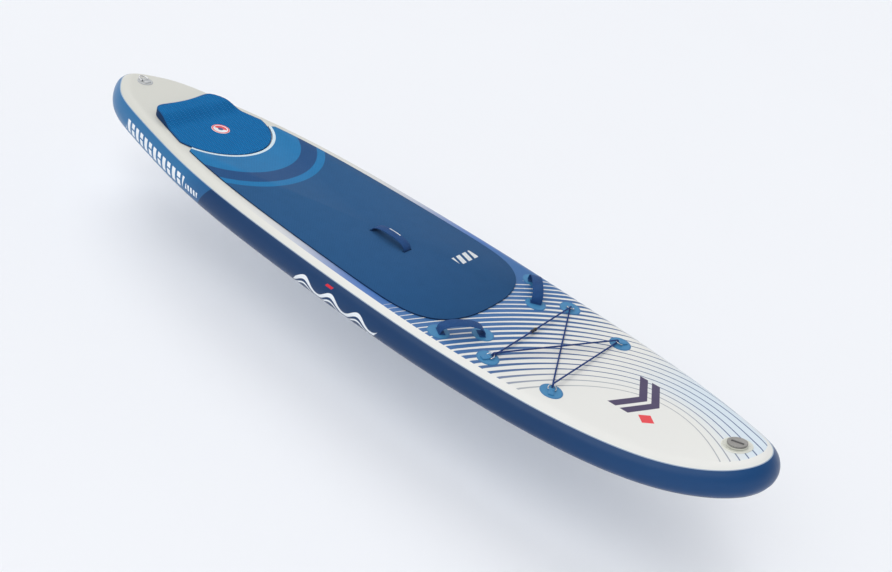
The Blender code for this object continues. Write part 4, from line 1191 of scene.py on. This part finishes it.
RING_PLACES = {"rear": (0.543, 0.258), "front": (0.769, 0.226)}
MIDDLE = sum(place[0] for place in RING_PLACES.values()) / 2
bows = {}
for end, (x, y) in RING_PLACES.items():
    for side, word in ((1, "port"), (-1, "starboard")):
        turn = math.atan2(-side * y, MIDDLE - x)
        bows[end, side] = ring_set(f"bungee_ring_{end}_{word}", x, side * y, turn, patch_radius=0.0383,
                                   half_width=0.0130, depth=0.0175, wire=0.00175, bar_height=0.0058,
                                   tilt=math.radians(20), width=0.019)
ring_set("leash_ring", -1.333, 0, math.pi, patch_radius=0.030, half_width=0.0175, depth=0.026, wire=0.0022,
         bar_height=0.0066, tilt=math.radians(8), width=0.026, finish=pale_patch)
print("bow heights:", [round(b.z, 4) for b in bows.values()])

# %% Bungee
CORD, WRAP = 0.0028, 0.006  # the cord's radius, and that of its turn round a bow


def wrap(bow, over_first, steps=17):
    outward = Vector((bow.x - MIDDLE, bow.y, 0)).normalized()
    start = math.pi / 2 if over_first else -math.pi / 2
    return [bow + outward * WRAP * math.cos(a) + Vector((0, 0, WRAP * math.sin(a)))
            for a in np.linspace(start, -start, steps)]


route = ((("rear", 1), True), (("front", -1), False), (("front", 1), False), (("rear", -1), True))
bends_round = [wrap(bows[key], over_first) for key, over_first in route]
cord_path = []
for turn, after in zip(bends_round, bends_round[1:] + bends_round[:1]):
    cord_path += turn
    cord_path += [turn[-1].lerp(after[0], k / 12) for k in range(1, 12)]
piece("bungee_cord_loop", tube(cord_path, CORD, sides=12, cyclic=True), cord_finish,
      stands_for=["bungee_cord"])
start, end = bends_round[-1][-1], bends_round[0][0]
heading = (end - start).to_track_quat("Z", "Y").to_matrix().to_4x4()
lump = [(0.0062 * (0.62 + 0.38 * abs(math.sin(share * math.pi)) ** 0.6), 0.017 * share)
        for share in (1 - k / 12 for k in range(25))]
bore = CORD + GAP
joiner = turned([(bore, lump[0][1])] + lump + [(bore, lump[-1][1])],
                Matrix.Translation((start + end) / 2) @ heading, steps=40)
piece("bungee_joiner_clip", joiner, black, stands_for=["bungee_joiner"])
print("cord loop", round(sum((b - a).length for a, b in zip(cord_path, cord_path[1:])), 3), "m")

# %% Stitch mesh
sewn = stitches.run(points_mesh(stitch_points, turn=stitch_turns), thread, placed)
piece("webbing_stitches", sewn, thread)
print("stitches:", len(stitch_points))

# %% [markdown]
# ## Valve
# The valve is a pale translucent collar welded to a clear patch, with a sprung stem inside and a soft grey
# cap. The cap is turned, then its finger bar and edge ribs are added; the ribs are Geometry Nodes copies
# round a ring.

# %% Valve finishes
clear = clouded("valve_clear_pvc", (210, 212, 200), (236, 238, 230), (70.0,), wear=(70.0, 3.0, 0.25, 0.2),
                grain=(70.0,), distance=0.0006, Transmission_Weight=0.15, IOR=1.5, Coat_Weight=0.3)
grey = clouded("valve_grey_plastic", (128, 127, 125), (160, 159, 156), (150.0, 4.0),
               wear=(150.0, 4.0, 0.2, 0.4), grain=(150.0, 4.0), distance=0.0004)
dark_grey = clouded("valve_dark_plastic", (78, 78, 80), (104, 104, 104), (150.0, 4.0), grain=(400.0,),
                    distance=0.0004)
rubber = clouded("seal_rubber", (30, 30, 32), (48, 48, 50), (300.0,), 0.8)
for node, finish in (("valve_nut", grey), ("valve_stem", grey), ("valve_seal", rubber),
                     ("valve_gasket", rubber), ("valve_housing", clear)):
    refinish(node, finish)
print("valve finishes ready")

# %% Valve collar, patch and cap
VALVE_X, CAP_EDGE, RIBS = 1.319, 0.0314, 60
valve_place = deck_frame(VALVE_X, 0)
patch = patch_mesh(VALVE_X, 0, 0.051, lift=0.0009, thick=0.0012, hole=0.0265, steps=96, bead=0.0005)
piece("valve_patch_ring", patch, clear, stands_for=["valve_patch"])
FLANGE_LOW, FLANGE, GASKET_WIRE, CAP_HEIGHT = 0.0040, 0.0025, 0.0008, 0.0050
base = FLANGE_LOW + FLANGE + 2 * GASKET_WIRE + 2 * GAP
top = base + CAP_HEIGHT
plug = 0.0180
cap_profile = [(0, top - 0.0022), (0.0225, top - 0.0022), (0.0245, top - 0.0018), (0.0268, top - 0.0003),
               (0.0285, top), (0.0303, top - 0.0006), (CAP_EDGE, top - 0.0020), (0.0315, base + 0.0004),
               (0.0311, base), (plug, base), (plug, -0.0036), (plug - 0.0022, -0.0040),
               (plug - 0.0022, base - 0.001), (0, base - 0.001)]
cap = turned(cap_profile, valve_place, steps=96)
grip = block((0.042, 0.0062, 0.0048), (0, 0, top - 0.0012), 0.0014, segments=3)
piece("valve_cap_lid", cap, grey, body="valve_cap", stands_for=["valve_cap"])
piece("valve_cap_grip", moved(grip, valve_place), dark_grey, body="valve_cap")
print("cap top at", round((valve_place @ Vector((0, 0, top))).z, 4))

# %% Cap ribs
ribs_tree = Tree("cap_ribs", Width=0.0012, Depth=0.0009, Height=0.0040)
rib_size = ribs_tree.vector(*(ribs_tree.size(name) for name in ("Depth", "Width", "Height")))
rib = ribs_tree.node("GeometryNodeMeshCube", {}, {"Size": rib_size})
ribs = ribs_tree.copies(rib, Rotation=ribs_tree.vector(0, 0, ribs_tree.number("turn")))
turns = [2 * math.pi * k / RIBS for k in range(RIBS)]
rib_points = points_mesh([(CAP_EDGE * math.cos(a), CAP_EDGE * math.sin(a), base + 0.0026) for a in turns],
                         turn=turns)
piece("valve_cap_ribs", moved(ribs_tree.run(rib_points, grey, ribs), valve_place), grey, body="valve_cap")
print("cap ribs:", len(turns))

# %% [markdown]
# ## Valve spring
# The spring shortens as the stem goes down. Here it is a fine coil of wire, drawn at one length.

# %% Spring
BUTTON_TOP, BUTTON, WEB_TOP = -0.0070, 0.0030, -0.022
SPRING_RADIUS, SPRING_WIRE, SPRING_TURN = 0.0055, 0.0005, 10 * math.pi
spring_top = BUTTON_TOP - BUTTON - GAP - SPRING_WIRE
spring_low = WEB_TOP + GAP + SPRING_WIRE
rise = (spring_top - spring_low) / SPRING_TURN
coil = [(SPRING_RADIUS * math.cos(a), SPRING_RADIUS * math.sin(a), spring_low + rise * a)
        for a in np.linspace(0, SPRING_TURN, 181)]
spring = piece("valve_spring_coil", moved(tube(coil, SPRING_WIRE, sides=6), valve_place), steel,
               stands_for=["valve_spring"])
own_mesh(spring)
print("spring", round(spring_top - spring_low, 4), "m long")

# %% [markdown]
# ## Fins
# A fin is a foil: round ahead, thin behind, thick at its root. Rows of the foil's outline, swept back
# toward the tip, make the blade. The large fin's flat base slides in the box, and a lever locks it.

# %% Fin finish
fin_finish = clouded("fin_plastic", (30, 52, 88), (40, 66, 106), (9.0,), wear=(120.0, 3.0, 0.2, 0.28),
                     grain=(260.0, 2.0), Coat_Weight=0.1)
refinish("fin_box", fin_finish)
print("fin finish ready")

# %% Fins
def blade(root, tip, depth, rake, thick, thin, top, rows=28, around_steps=36):
    made = []
    for share in np.linspace(0, 1, rows):
        chord = root + (tip - root) * share**1.4
        width = thick + (thin - thick) * share
        if share > 0.9:
            width *= math.sqrt(max(1 - ((share - 0.9) / 0.1) ** 2, 0.06))
        row = []
        for k in range(around_steps):
            a = 2 * math.pi * k / around_steps
            fullness = max(0.62 + 0.38 * math.cos(a), 0.35) if math.cos(a) < 0 else 1.0
            row.append((-rake * share**1.5 + chord / 2 * math.cos(a), width / 2 * math.sin(a) * fullness,
                        top - depth * math.sin(share * math.pi / 2)))
        made.append(row)
    return surface(made, around=True, caps=True)


FIN_X, FIN_MIDDLE = -0.9925, -0.0058
SIDE_FIN_X, SIDE_FIN_Y = -0.830, 0.175
fin = joined(blade(0.150, 0.055, 0.150, 0.085, 0.0085, 0.004, FIN_MIDDLE),
             block((0.170, 0.033, 0.003), (0, 0, FIN_MIDDLE), 0.0008))
piece("centre_fin_blade", moved(fin, Matrix.Translation((FIN_X, 0, 0))), fin_finish, body="centre_fin",
      stands_for=["centre_fin"])
low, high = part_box("fin_lock")
size = high - low
lever = block(size, (low + high) / 2, 0.0009)
ridge_bars = [block((0.0016, size.y * 0.8, 0.0009), (low.x + 0.004 + 0.003 * k, 0, low.z - 0.0001), 0.0002)
              for k in range(3)]
piece("fin_lock_lever", joined(lever, *ridge_bars), black, body="fin_lock", stands_for=["fin_lock"])
for word, side in (("port", 1), ("starboard", -1)):
    shape = joined(blade(0.105, 0.045, 0.045, 0.030, 0.010, 0.004, -0.0015),
                   block((0.140, 0.040, 0.003), (0, 0, -0.0015), 0.0008))
    place = Matrix.Translation((SIDE_FIN_X, side * SIDE_FIN_Y, -GAP))
    piece(f"side_fin_{word}_blade", moved(shape, place), fin_finish, stands_for=[f"side_fin_{word}"])
print("three fins")

# %% [markdown]
# ## Size of the finished pieces
# The finished pieces should fill the CAD model's box, to within about a millimetre. The box of the
# finished pieces is printed.

# %% Sizes
low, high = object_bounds()
print("visual box:", [round(v, 4) for v in (*low, *high)])
